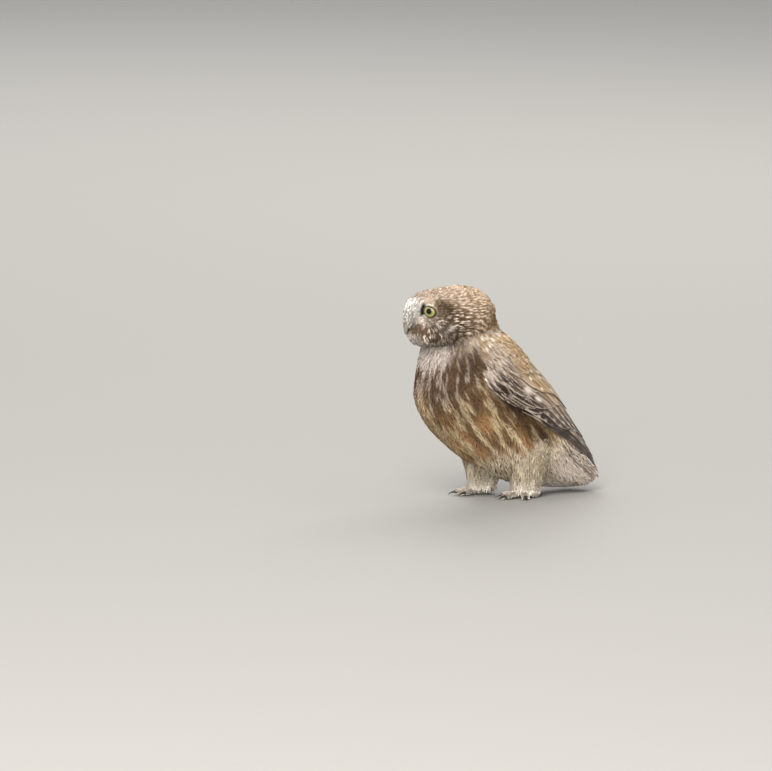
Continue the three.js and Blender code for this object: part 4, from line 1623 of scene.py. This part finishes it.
# The loose webs of body feathers look softer than a flight feather: wide, faint barbs.
BODY_FINISH = Plumage("soft_body_feathers", barb_mm=0.6, barb_depth=0.14)
REGIONS = [
    # count, along, belly, length, half width, lift
    Region("throat_coat", 2800, (-32, 4), (0, 100), 8.0, 1.5, 1.6),
    Region("breast_coat", 5600, (-4, 58), (0, 108), 10.5, 1.7, 1.8),
    Region("belly_coat", 5600, (50, 116), (0, 114), 13.0, 1.9, 1.9),
    Region(
        "thigh_coat", 2000, (66, 118), (18, 86), 20.0, 1.8, 3.0, "pale_feather",
        droop=0.6, hug=0.55, rows=6,
    ),
    Region("vent_coat", 3800, (104, 166), (0, 112), 13.0, 2.1, 1.6, "pale_feather"),
    Region(
        "undertail_coat", 1600, (112, 154), (92, 142), 17.0, 2.1, 1.7, "pale_feather",
        hug=0.65, rows=7,
    ),
    Region("nape_coat", 2600, (-30, 16), (92, 180), 8.0, 1.7, 2.0),
    Region("mantle_coat", 3000, (10, 136), (108, 180), 11.0, 2.4, 2.0),
    Region("uppertail_coat", 1000, (112, 156), (118, 144), 12.0, 2.3, 4.2, tucked=True),
    Region("tail_cushion", 500, (152, 168), (100, 180), 8.0, 2.3, 2.2, "pale_feather"),
    Region("shoulder_coat", 2000, (-16, 7), (62, 165), 9.5, 1.6, 2.2, form=Shoulder()),
]


# Big feathers


def quill_grid() -> tuple[Array, Array]:
    """Give a big feather's shares from root to tip and its webs from -1 to 1, as a grid."""
    share = np.linspace(0, 1, QUILL_ROWS)[None, :, None]
    return share, np.linspace(-1, 1, QUILL_COLUMNS)[None, None, :]


def quill_half(share: Array, half: float, taper: float, end: tuple[float, float, float]) -> Array:
    """Give a big feather's half width, narrow at the root, with an elliptical tip.

    Args:
        share: From 0 at the root to 1 at the tip.
        half: The half width.
        taper: The share of it lost on the way.
        end: Where the tip starts, how long it is, and how far it closes.

    Returns:
        Millimetres for each share.
    """
    start, length, shut = end
    close = np.clip((share - start) / length, 0, 1)
    body = half * np.minimum(1, 0.6 + 1.6 * share) * (1 - taper * share)
    return body * np.sqrt(1 - shut * close**2)


@dataclass
class Tier:
    """A tier of a folded wing's feathers, from the lowest feather to the one nearest the back.

    Pairs are for the first and the last feather: where they root and end along the body, and
    where across the wing.
    """

    name: str
    count: int
    root: tuple[float, float]
    tip: tuple[float, float]
    start: tuple[float, float]
    end: tuple[float, float]
    half: float
    taper: float
    lift: float
    style: Mark
    mark: str
    strength: float

    def between(self, pair: tuple[float, float]) -> Array:
        """Give one value for each feather, evenly from the first to the last."""
        return np.linspace(pair[0], pair[1], self.count)[:, None, None]

    def sheet(self, wing: Wing, seed: int, cell: int) -> Sheet:
        """Lay the feathers on a wing.

        Each runs from its sunk root, rounds off at the tip, and laps over the feather below it.

        Args:
            wing: The wing.
            seed: Which random differences.
            cell: Its first cell in the bake map.

        Returns:
            Its feathers.
        """
        rng = np.random.default_rng(seed)
        each = (self.count, 1, 1)
        share, web = quill_grid()
        root, tip = self.between(self.root), self.between(self.tip) + rng.normal(size=each) * 1.1
        half = quill_half(share, self.half, self.taper, (0.7, 0.3, 0.94))
        fray = 0.9 * grain(9, web * 7 + 31 * rng.random(each), share * 2)
        at = root + (tip - root) * share - (0.6 * self.half * web**2 + fray) * share**3
        middle = self.between(self.start) * (1 - share) + self.between(self.end) * share
        across = middle + web * half / wing.breadth(at)
        # near the back the feathers crowd together, and never reach past the wing's edge
        edge, room = 1.02, 0.17
        crowded = edge - room * np.exp((edge - room - across) / room)
        across = np.where(across < edge - room, across, crowded)
        sunk = (self.lift - 0.1) * (1 - ease(share, 0, 0.4))
        ridge = 0.16 * bell(web * half, 0.45)
        bow = 0.35 * (1 - web**2)
        out = self.lift - sunk - 0.5 * web + bow + ridge + 0.14 * rng.normal(size=each)
        points = wing.point(at, across, out)
        colours = self.paint(wing, points, share, web, rng)
        row, column = np.divmod(cell + np.arange(self.count)[:, None, None], 10)
        bake = stacked((column + 0.5 + 0.42 * web) / 10, (row + 0.06 + 0.88 * share) / 8)
        vane = stacked(web * half, (tip - root) * share)
        return feathered(points, colours, vane, bake, wing.side is Side.LEFT)

    def paint(
        self, wing: Wing, points: Array, share: Array, web: Array, rng: np.random.Generator
    ) -> Array:
        """Colour the tier: the wing's ground, darker on the inner webs and shafts, then the marks.

        Behind the middle the wing's lowest feathers are plainer and darker, partly painted shade.

        Args:
            wing: The wing.
            points: The feathers' points.
            share: From 0 at the root to 1 at the tip.
            web: From -1 at the lower edge to 1 at the upper.
            rng: Gives random differences.

        Returns:
            Linear colours.
        """
        phase = rng.random((self.count, 1, 1))
        at, across = wing.across_of(points)
        # painted shade along the wing's lower edge, with the lowest feathers' own darker colour
        lowest = ease(at, 78, 94) * (1 - ease(across, 0.07, 0.2))
        ground = wing_paint(wing, points)
        inner = 1 - 0.45 * ease(web, -0.75, -0.1) - 0.22 * bell(web + 0.05, 0.13)
        over = marked(self.style, share, web, phase) * self.strength * (0.7 + 0.3 * phase)
        colour = blend(ground * inner[..., None], self.mark, over * (1 - 0.75 * lowest))
        tint = 0.86 + 0.28 * rng.random((self.count, 1, 1))
        shade = (0.86 + 0.14 * ease(share, 0.2, 0.7)) * tint
        colour = blend(colour, "#d2c7bd", wing_spots(wing, points) * (self.lift > 1.2))
        return np.clip(colour * (shade * (1 - 0.2 * lowest))[..., None], 0, 1)


TIERS = [
    # count, roots and tips along, roots and tips across, half width, taper, lift, marks
    Tier("primaries", 10, (55, 92), (173.5, 141), (0.03, 0.5), (0.24, 0.84),
         6.6, 0.42, 0.3, Mark.NOTCH, "#bdac98", 0.85),
    Tier("secondaries", 11, (60, 72), (106, 142), (0.08, 0.82), (0.16, 0.82),
         5.4, 0.12, 0.9, Mark.NOTCH, "#d8c9b7", 0.9),
    Tier("tertials", 3, (62, 68), (124, 138), (0.7, 0.9), (0.72, 0.9),
         6.0, 0.1, 1.5, Mark.NOTCH, "#e2d5bf", 0.85),
    Tier("greater_coverts", 13, (42, 54), (76, 98), (0.06, 0.82), (0.1, 0.82),
         4.3, 0.0, 1.5, Mark.EDGE, "#cdbdab", 0.7),
    Tier("median_coverts", 13, (26, 32), (54, 70), (0.08, 0.82), (0.1, 0.82),
         4.0, 0.0, 1.9, Mark.EDGE, "#d3c4b4", 0.75),
    Tier("alula", 4, (18, 27), (58, 72), (0.0, 0.12), (0.02, 0.14),
         3.0, 0.2, 1.9, Mark.EDGE, "#c3b3a2", 0.7),
    Tier("scapulars", 8, (20, 30), (70, 104), (0.52, 0.94), (0.5, 0.9),
         5.4, 0.0, 2.4, Mark.SPOT, "#e0d4c2", 0.9),
    Tier("upper_scapulars", 7, (6, 16), (44, 66), (0.5, 0.92), (0.5, 0.9),
         5.2, 0.0, 2.7, Mark.SPOT, "#e0d4c2", 0.9),
]


@dataclass
class WingFeathers:
    """One folded wing: its tiers of feathers and the small coverts of the shoulder."""

    side: Side
    coverts: int = 2000

    def shoulder_paint(self, points: Array) -> Array:
        """Paint the shoulder's coverts: fine pale streaks below, oval spots in rows above.

        Args:
            points: Places on the wing.

        Returns:
            Linear colours.
        """
        wing = WINGS[self.side]
        at, across = wing.across_of(points)
        ground = blend(wing_paint(wing, points), "#cdb48f", 0.5 * ease(across, 0.42, 0.6))
        streak = grain(75, across * 60 / 0.95 + 0.6 * np.sin(at / 3), at / 7)
        low = 1 - ease(across, 0.36, 0.5)
        colour = blend(ground, "#d6c8bb", 0.85 * low * ease(streak, 0.5, 0.72))
        colour = blend(colour, "#3f3024", 0.5 * low * (1 - ease(streak, 0.24, 0.42)))
        colour = blend(colour, "#dcd1c7", wing_spots(wing, points))
        drops = flecks(across * 2.2, at, 27.0, (6.5, 8.5), (1.5, 2.3), 77)
        return blend(colour, "#ddd0bf", drops * (1 - low))

    def shoulder(self) -> Sheet:
        """Grow the shoulder's small coverts over the wing's front.

        Returns:
            Their feathers.
        """
        wing = WINGS[self.side]
        pair = spread(self.coverts)
        at = -3 + 58 * pair[:, 0] ** 1.15
        across = -0.02 + 1.02 * pair[:, 1]
        points = wing.point(at, across, np.asarray(wing.cover - 0.4))
        rng = np.random.default_rng(40 + self.side.value)
        breadth = wing.breadth(at)
        keep = ~HEAD.holds(points, 3) & (rng.random(len(at)) < breadth / breadth.max())
        keep &= (at < 34) | (across < 0.34)
        points, at, across = points[keep], at[keep], across[keep]
        size = 0.8 + 0.4 * rng.random(len(points))
        upper = ease(across, 0.4, 0.62)
        bake = stacked(across * 0.96 + 0.02, (at + 4) / 64)
        lie = BODY_LIE + 0.06 * rng.normal(size=(len(points), 3))
        lift = np.full(len(points), 2.0) + 0.7 * upper
        length, width = (7.5 + 2.5 * upper) * size, (1.1 + 1.0 * upper) * size
        lot = Lot(points, lie, length, width, lift, bake, self.shoulder_paint, seed=51)
        lot.sink, lot.vary = 1.6, 0.12
        return lot.sheet(wing)

    def build(self) -> None:
        """Make the wing's feathers in place of the solid wing."""
        wing, word = WINGS[self.side], self.side.word
        cells = np.cumsum([0] + [tier.count for tier in TIERS])
        sheets = [tier.sheet(wing, 60 + i, int(cells[i])) for i, tier in enumerate(TIERS)]
        quills = joined(sheets).piece(f"wing_feathers_{word}", QUILL_FINISH)
        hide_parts(f"wing_{word}")
        self.shoulder().piece(f"wing_coverts_{word}", BODY_FINISH)


# Barbs and a raised shaft make the big feathers look stiff and smooth, with a faint sheen.
QUILL_FINISH = Plumage(
    "stiff_flight_feathers", barb_mm=0.9, barb_depth=0.18, shaft_mm=0.35, roughness=0.62
)


@dataclass
class Tail:
    """The tail: six pairs of feathers in a flat fan, arched a little across.

    Its root, its feathers' roots and its tip are places along the body; half breadths and heights
    are at its root and tip.
    """

    root: float = 96
    feather: float = 112
    tip: float = 174
    narrow: float = 12
    broad: float = 21
    root_height: float = 23.2
    tip_height: float = 20.4
    arch: float = 6
    pairs: int = 6
    vane: float = 5.2

    def point(self, at: Array, across: Array, up: Array) -> Array:
        """Give a point of the fan: its height falls along it, and with the share across squared.

        Args:
            at: Places along the body.
            across: Millimetres from the middle.
            up: Millimetres up.

        Returns:
            Points.
        """
        share = (at - self.root) / (self.tip - self.root)
        half = self.narrow + (self.broad - self.narrow) * share
        top = self.root_height + (self.tip_height - self.root_height) * share
        return POSTURE.place(at, across, top - self.arch * share * (across / half) ** 2 + up)

    def build(self) -> None:
        """Make the fan in place of the solid tail: brown feathers with pale bars."""
        rng = np.random.default_rng(81)
        share, web = quill_grid()
        each = (2 * self.pairs, 1, 1)
        side, order = np.divmod(np.arange(2 * self.pairs).reshape(each), self.pairs)
        rank = (order + 0.5) / self.pairs
        tip = self.tip - 0.5 - 5 * rank**2
        half = quill_half(share, self.vane, 0.05, (0.76, 0.24, 0.93))
        fray = 0.5 * grain(19, web * 7 + 13 * order, share * 2)
        at = self.feather + (tip - self.feather) * share - (1.8 * web**2 + fray) * share**3
        middle = rank * (self.narrow + (self.broad - self.narrow) * share) - half * 0.8 * rank
        up = -0.5 - 0.24 * order + 0.35 * web + 0.15 * bell(web * half, 0.45)
        points = self.point(at, (2 * side - 1) * (middle + web * half), up)
        over = marked(Mark.BARS, share, web, rng.random(each))
        tint = 0.9 + 0.2 * rng.random(each)
        colour = blend("#76614b", "#d3c2a6", over) * tint[..., None]
        colour = np.broadcast_to(colour, points.shape)
        vane = stacked(web * half, (tip - self.feather) * share)
        bake = stacked((order + 0.5 + 0.44 * web) / 6, (side + 0.05 + 0.9 * share) / 2)
        sheet = feathered(points, colour, vane, bake, side == 0)
        piece = sheet.piece("tail_feathers", QUILL_FINISH)
        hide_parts("tail")


# Legs, feet and bill


@dataclass
class Toe:
    """A toe: degrees outwards from ahead, its length, and its claw's length."""

    name: str
    turn: float
    length: float
    claw: float
    radius: float = 2.5
    height: float = 2.1
    claw_radius: float = 1.55

    def curve(
        self, leg: Leg, side: Side, share: Array, corners: list[tuple[float, float]]
    ) -> Array:
        """Give points of a curve.

        Args:
            leg: The toe's leg.
            side: Its side.
            share: How far along the curve.
            corners: For each corner a distance out from the leg and a height.

        Returns:
            One point for each share.
        """
        out = math.radians(self.turn) * side.value
        foot, way = np.array([leg.x, leg.y, 0]), np.array([-math.cos(out), math.sin(out), 0.0])
        return bowed([foot + way * far + [0, 0, z] for far, z in corners], share)

    def line(self, leg: Leg, side: Side, share: Array) -> Array:
        """Give the toe's middle line, from under the ankle to the claw's root."""
        corners = [(0, 4.4), (self.length * 0.6, 3.6), (self.length, self.height)]
        return self.curve(leg, side, share, corners)

    def claw_line(self, leg: Leg, side: Side, share: Array) -> Array:
        """Give the claw's middle line, arched and ending just over the ground."""
        root, reach = self.length - 2.2, self.claw + 2.2
        corners = [(root, 2.4), (root + reach * 0.62, 4.6), (root + reach, 0.55)]
        return self.curve(leg, side, share, corners)


TOES = [
    Toe("inner", -16, 17, 8.5),
    Toe("middle", 12, 20, 8.5),
    Toe("outer", 68, 15.5, 7.5),
    Toe("hind", 168, 10.5, 6.5),
]


def tube(middle: Array, radius: Array, flat: float = 1.0, around: int = 20) -> Array:
    """Carry a round profile along a line.

    Args:
        middle: The line's points.
        radius: The radius at each.
        flat: The profile's width over its height.
        around: Points round it.

    Returns:
        Rings of points.
    """
    aside, upright = crosswise(unit(np.gradient(middle, axis=0)))
    turn = ring(around)[..., None]
    spoke = flat * np.cos(turn) * aside[:, None] + np.sin(turn) * upright[:, None]
    return middle[:, None] + radius[:, None, None] * spoke


def leg_paint(points: Array) -> Array:
    """Paint the legs and toes: cream, with faint buff streaks that run down.

    Args:
        points: Places on them.

    Returns:
        Linear colours.
    """
    x, y, z = (points[..., axis] for axis in range(3))
    turn = np.arctan2(y - np.sign(y) * 17.5, x % 24 - 12)
    streak = grain(97, turn * 5, z / 11)
    ground = blend("#e6ded2", "#b9ad97", ease(z, 6, 18))
    return blend(ground, "#a8967a", 0.5 * ease(streak, 0.5, 0.85))


@dataclass
class Foot:
    """A foot: claws, and the bristly little feathers on its toes and leg."""

    side: Side
    bristle_count: int = 380
    trouser_count: int = 2600

    def claws(self) -> None:
        """Make the claws in place of the solid ones: blackish horn, paler at the root."""
        leg = LEGS[self.side]
        for toe in TOES:
            share = np.linspace(0, 1, 24)
            blunt = np.sqrt(np.clip(share * 12, 0.0004, 1))
            radius = toe.claw_radius * (1 - 0.9 * share**1.25) * blunt
            radius[-1] = POLE
            rings = tube(toe.claw_line(leg, self.side, share), radius, flat=0.8)
            colour = blend("#4a4038", "#14100d", ease(share, 0.15, 0.6))
            sheet = ringed(rings, np.broadcast_to(colour[:, None], rings.shape))
            turn = np.linspace(0, 6, rings.shape[1])
            sheet.vane = stacked(turn, share[:, None] * toe.claw).reshape(-1, 2)
            piece = sheet.piece(f"talon_{self.side.word}_{toe.name}", CLAW_FINISH)
            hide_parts(f"claw_{self.side.name.lower()}_{toe.name}")

    def bristles(self) -> Sheet:
        """Grow the toes' bristly feathers on their upper sides.

        Returns:
            Those of all four toes.
        """
        leg, count = LEGS[self.side], self.bristle_count
        sheets = []
        for number, toe in enumerate(TOES):
            rng = np.random.default_rng(90 + number)
            pair = spread(count)
            share, turn = 0.04 + 0.94 * pair[:, 0], math.pi * (1.2 * pair[:, 1] - 0.1)
            middle = toe.line(leg, self.side, share)
            ahead = unit(toe.line(leg, self.side, share + 0.02) - middle)
            aside, upright = crosswise(ahead)
            normal = np.cos(turn)[:, None] * aside + np.sin(turn)[:, None] * upright
            roots = middle + normal * (toe.radius * 0.9)
            length = (3.9 - 0.9 * share) * (0.8 + 0.4 * rng.random(count))
            lie = ahead + 0.2 * rng.normal(size=(count, 3))
            bake = stacked((number + 0.2 + 0.6 * turn / math.pi) / 4, share)
            lot = Lot(
                roots, lie, length, 0.22 * length, np.full(count, 1.3), bake, leg_paint,
                rows=5, columns=4, sink=0.3, vary=0.25, seed=90 + number, normals=normal,
            )
            sheets.append(lot.sheet(Form()))
        return joined(sheets)

    def trousers(self) -> Sheet:
        """Grow the leg's soft feathers, hanging down over the ankle.

        Returns:
            Its feathers.
        """
        leg = LEGS[self.side]
        rng = np.random.default_rng(101)
        pair = spread(self.trouser_count)
        rise, turn = -0.02 + 0.9 * pair[:, 0], math.tau * pair[:, 1]
        points = leg.point(rise, turn)
        keep = ~TRUNK.holds(points, 2.5)
        points, rise, turn = points[keep], rise[keep], turn[keep]
        count = len(points)
        size = 0.8 + 0.4 * rng.random(count)
        bake = stacked(turn / math.tau, rise) * 0.99
        lie = np.array([0, 0, -1.0]) + 0.1 * rng.normal(size=(count, 3))
        loose = ease(rise, 0.05, 0.3) * (1 - 0.85 * ease(rise, 0.3, 0.6))
        lift = (1.8 + 1.4 * loose * (0.5 + 0.5 * np.cos(turn))) * size
        length, width = (4.2 + 6.0 * loose) * size, (0.8 + 0.8 * loose) * size
        lot = Lot(points, lie, length, width, lift, bake, leg_paint, rows=5, seed=102)
        lot.sink, lot.hug = 1.8, 1 - 0.4 * loose
        return lot.sheet(leg)

    def build(self) -> None:
        """Make the claws, the toes' bristles and the leg's feathers."""
        self.claws()
        for name, grow in {"toe_bristles": self.bristles, "leg_coat": self.trousers}.items():
            piece = grow().piece(f"{name}_{self.side.word}", BODY_FINISH)


# Growth lines and a thin gloss tell horn from feather; the bill is duller than the claws.
CLAW_FINISH = Horn("blackish_claw_horn", rib_mm=1.2, roughness=0.35, coat=0.4)
BILL_FINISH = Horn("greenish_bill_horn", rib_mm=1.0, roughness=0.38, coat=0.25)


@dataclass
class Bill:
    """The hooked bill: upper over lower, with nostrils near the feathers.

    Reach and drop are the upper half's; the gape is how far lower the other roots.
    """

    x: float = -80.5
    z: float = 158.5
    reach: float = 11.6
    drop: float = 12.5
    wide: float = 4.3
    deep: float = 4.4
    gape: float = 6.6
    nostril: float = 0.42

    def half(self, upper: bool) -> Sheet:
        """Shape one half: a round profile along a hooked curve, tapering to the tip.

        Args:
            upper: Whether it is the upper half.

        Returns:
            The closed half with its colours.
        """
        size, breadth, depth = (1, 1, 1) if upper else (0.56, 0.8, 0.42)
        reach, drop = self.reach * size, self.drop * size
        top = self.z - (0 if upper else self.gape)
        shape = [(0.0, 0.0), (1.05, 0.12), (0.98, 1.0)]
        corners = [np.array([self.x - reach * out, 0, top - drop * down]) for out, down in shape]
        share = np.linspace(0, 1, 44)
        middle = bowed(corners, share)
        ahead = unit(np.gradient(middle, axis=0))
        upright = np.stack([ahead[:, 2], 0 * share, -ahead[:, 0]], -1)
        girth = np.sqrt(np.clip(share * 6, 1e-6, 1)) * (1 - 0.78 * share**1.4)
        girth[-1] = POLE
        girth *= np.sqrt(np.clip((1 - share) * 14, 1e-6, 1))
        share, girth, turn = share[:, None], girth[:, None], ring(40)
        wide = self.wide * breadth * girth * np.cos(turn)
        deep = self.deep * depth * girth * np.sin(turn)
        if upper:
            deep = deep - 0.12 * bell(turn - math.pi * 1.5, 0.35) * self.deep * girth
            for hole in (-0.2, math.pi + 0.2):
                around = wrapped(turn - hole)
                pit = np.exp(-((share - self.nostril) / 0.05) ** 2 - (around / 0.24) ** 2)
                wide = wide * (1 - 0.32 * pit)
        arch = middle[:, None] + upright[:, None] * deep[..., None]
        points = arch + wide[..., None] * [0, 1.0, 0]
        colour = blend("#605f4c", "#77745e", ease(share, 0.3, 0.85))
        sheet = ringed(points, np.broadcast_to(colour, points.shape))
        sheet.vane = stacked(turn * 3, share * 15).reshape(-1, 2)
        return sheet

    def bristles(self) -> Sheet:
        """Grow the long pale bristles that droop from the lores over the bill.

        Returns:
            The bristles.
        """
        rng = np.random.default_rng(120)
        count = 420
        side = np.where(rng.random(count) < 0.5, -1, 1)
        spots = stacked(-89.0, side * rng.uniform(1.5, 8.5, count), rng.uniform(156, 170, count))
        roots = HEAD.settle(spots)
        lie = stacked(-0.5, 0.25 * side, -1.0) + 0.22 * rng.normal(size=(count, 3))
        length = rng.uniform(4.5, 8.5, count)
        bake = stacked(0.5 + roots[:, 1] / 22, (roots[:, 2] - 150) / 26)
        width, lift = np.full(count, 0.32), rng.uniform(1.6, 3.4, count)
        lot = Lot(roots, lie, length, width, lift, bake, self.bristle_paint, rows=8, columns=3)
        lot.sink, lot.hug, lot.seed = 1.6, 0.55, 121
        return lot.sheet(HEAD)

    def bristle_paint(self, points: Array) -> Array:
        """Paint the bristles half way between the face below them and a pale grey."""
        return blend(patches(points, HEAD_PATCHES)[0], "#d8d0c6", np.full(points.shape[:-1], 0.5))

    def build(self) -> None:
        """Make both halves in place of the solid bill, and the bristles round it."""
        for upper, word in ((True, "upper"), (False, "lower")):
            piece = self.half(upper).piece(f"beak_{word}", BILL_FINISH)
            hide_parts(f"bill_{word}")
        piece = self.bristles().piece("bill_bristles", BODY_FINISH)


# The skin under the coat


@dataclass
class Skin:
    """One skin under the coat: the forms drawn in by the coat's depth and grown together."""

    voxel_mm: float = 1.15

    def shapes(self) -> list[Sheet]:
        """Shape the closed forms that the skin grows together from.

        Returns:
            Trunk, head, legs, toes, foot pads and wing shells.
        """
        turn = ring(48)
        aside, upwards = np.cos(turn), np.sin(turn)
        at = np.linspace(-34, 158, 60)[:, None]
        forms = [TRUNK.point(at, turn + 0 * at, -2.4)]
        rise = np.linspace(0.02, math.pi - 0.02, 48)[:, None]
        way = stacked(-np.cos(rise), np.sin(rise) * aside, np.sin(rise) * upwards)
        forms.append(HEAD.point(way, -2.1))
        pad = np.linspace(0.02, math.pi - 0.02, 20)[:, None]
        ball = stacked(5.6 * np.sin(pad) * aside, 5.0 * np.sin(pad) * upwards, 3.4 * np.cos(pad))
        rise = np.linspace(-0.04, 1, 24)[:, None]
        share = np.linspace(0, 1, 26)
        pads = 1 - 0.14 * share + 0.09 * np.sin(share * 19)
        blunt = np.sqrt(np.clip(np.minimum(share, 1 - share) * 9, 0.02, 1))
        for side, leg in LEGS.items():
            out = -1.8 - 4.0 * (1 - ease(rise, -0.04, 0.2))
            forms.append(leg.point(rise, turn + 0 * rise, out))
            for toe in TOES:
                line, radius = toe.line(leg, side, share), (toe.radius - 0.15) * pads * blunt
                line[:, 2] = np.maximum(line[:, 2], radius + 0.15)
                forms.append(tube(line, radius))
            forms.append(ball + [leg.x, leg.y, 3.7])
        return [capped(form) for form in forms] + [self.wing_shell(side) for side in Side]

    def wing_shell(self, side: Side) -> Sheet:
        """Shape the flesh of a folded wing, a thin closed shell under its feathers.

        Args:
            side: Which wing.

        Returns:
            The closed shell.
        """
        wing = WINGS[side]
        at = np.linspace(2, 150, 40)[:, None]
        turn = ring(40)
        across = 0.5 - 0.46 * np.cos(turn)
        thin = np.sin(turn) * ease(at, 2, 14) * (1 - 0.75 * ease(at, 110, 150))
        out = np.where(thin > 0, -0.35 - 0.4 * (1 - thin), 3.4 * thin - 0.75)
        return capped(wing.point(at, across + 0 * at, out)).turned(side is Side.LEFT)

    def tones(self, points: Array) -> Array:
        """Paint the skin with the coat's own markings, so that no gap between feathers shows.

        Args:
            points: Places on it.

        Returns:
            Linear colours.
        """
        head = np.exp(-((np.linalg.norm(points - np.array(HEAD.middle), axis=-1) / 34) ** 6))
        colour = blend(trunk_paint(points), head_paint(points), head)
        colour = blend(colour, leg_paint(points), 1 - ease(points[:, 2], 12, 34))
        return 0.8 * blend(colour, "#b9ae9c", 1 - ease(points[:, 2], 5.5, 8.5))

    def build(self) -> None:
        """Grow the shapes together, smooth the joins, and paint the skin."""
        rough = joined(self.shapes()).piece("rough_skin", DOWN_FINISH)
        remesh = rough.modifiers.new("grow", "REMESH")
        remesh.mode = "VOXEL"
        remesh.voxel_size = self.voxel_mm / 1000
        relax = rough.modifiers.new("relax", "SMOOTH")
        relax.factor, relax.iterations = 0.5, 3
        grown = rough.evaluated_get(bpy.context.evaluated_depsgraph_get())
        whole = bpy.data.meshes.new_from_object(grown)
        flat = np.empty(len(whole.vertices) * 3)
        whole.vertices.foreach_get("co", flat)
        points = flat.reshape(-1, 3) * 1000 - [POSTURE.shift_x, 0, 0]
        quads = np.empty(len(whole.polygons) * 4, dtype=np.int32)
        whole.polygons.foreach_get("vertices", quads)
        bpy.data.objects.remove(rough)
        skin = Sheet(points, quads.reshape(-1, 4), self.tones(points)).piece("skin", DOWN_FINISH)
        limbs = [f"{part}_{side.word}" for part in ("leg", "foot") for side in Side]
        nodes = ["head", "neck", "torso", *limbs]
        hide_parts(*nodes)


# The down's soft grain shows only in the gaps between feathers, as a dull, pale underlayer.
DOWN_FINISH = Down()


# The studio


@dataclass
class Studio:
    """Floor, soft lights, and the camera at the photograph's height and angle.

    It aims off_right and off_up millimetres from the middle of the owl's own frame.
    """

    azimuth: float = math.radians(-28)
    elevation: float = math.radians(8)
    distance: float = 7.5
    mm_per_pixel: float = 0.86
    off_right: float = -98.0
    off_up: float = 95.0
    sensor_mm: float = 36
    floor_half: float = 6.0

    def camera(self) -> None:
        """Set the camera so that a pixel of the photograph is 0.86 mm at the owl.

        The focal length is the sensor's width times the distance over the width in view.
        """
        a, e = self.azimuth, self.elevation
        right = np.array([math.cos(a), math.sin(a), 0])
        back = np.array([math.sin(a) * math.cos(e), -math.cos(a) * math.cos(e), math.sin(e)])
        up = np.cross(back, right)
        aim = POSTURE.metres(self.off_right * right + self.off_up * up)
        data = bpy.data.cameras.new("camera")
        data.sensor_width = self.sensor_mm
        data.lens = self.sensor_mm * self.distance / (PHOTO_WIDTH * self.mm_per_pixel / 1000)
        data.clip_end = 50
        camera = bpy.data.objects.new("camera", data)
        turn = Matrix(np.stack([right, up, back], axis=1).tolist()).to_4x4()
        camera.matrix_world = Matrix.Translation(Vector(aim + back * self.distance)) @ turn
        bpy.context.scene.collection.objects.link(camera)
        bpy.context.scene.camera = camera

    def lights(self) -> None:
        """Hang the lamps, soft squares that point at the owl."""
        for name, place, size, watts, tint in LAMPS:
            data = bpy.data.lights.new(name, "AREA")
            data.size, data.energy, data.color = size, watts, linear(tint)
            lamp = bpy.data.objects.new(name, data)
            lamp.location = place
            aim = Vector((0, 0, 0.09)) - lamp.location
            lamp.rotation_euler = aim.to_track_quat("-Z", "Y").to_euler()
            bpy.context.scene.collection.objects.link(lamp)

    def floor(self) -> None:
        """Lay the floor as a wide square, level with the feet."""
        mesh = bpy.data.meshes.new("floor")
        signs = [(-1, -1), (1, -1), (1, 1), (-1, 1)]
        corners = [(self.floor_half * x, self.floor_half * y, 0) for x, y in signs]
        mesh.from_pydata(corners, [], [(0, 1, 2, 3)])
        mesh.materials.append(Floor().material())
        floor = bpy.data.objects.new("floor", mesh)
        bpy.context.scene.collection.objects.link(floor)

    def build(self) -> None:
        """Set up the whole studio."""
        self.floor()
        self.camera()
        self.lights()
        world = bpy.data.worlds.new("studio")
        world.use_nodes = True
        colour, strength = world.node_tree.nodes["Background"].inputs[:2]
        colour.default_value, strength.default_value = (*linear("#eff0f1"), 1), 1.0
        bpy.context.scene.world = world
        bpy.context.scene.view_settings.view_transform = "Standard"


LAMPS = [
    # name, place and size in metres, watts, tint
    ("key", (-1.62, -1.8, 2.34), 1.6, 110, "#fff8f0"),
    ("fill", (-2.2, -3.3, 0.66), 2.6, 131, "#fffcf8"),
    ("rim", (2.0, 1.8, 2.0), 1.6, 36, "#fff6ec"),
    ("far_fill", (1.2, 3.6, 2.4), 1.6, 67, "#fffcf8"),
]


def main() -> None:
    """Set up the studio, then build the owl from the skin outwards."""
    logging.basicConfig(level=logging.INFO, format="%(name)s %(message)s")
    Studio().build()
    Skin().build()
    for number, region in enumerate(REGIONS):
        region.build(200 + number)
    HeadCoat().build()
    for eye in EYES.values():
        eye.build()
    Bill().build()
    for side in Side:
        WingFeathers(side).build()
        Foot(side).build()
    Tail().build()


if __name__ == "__main__":
    main()
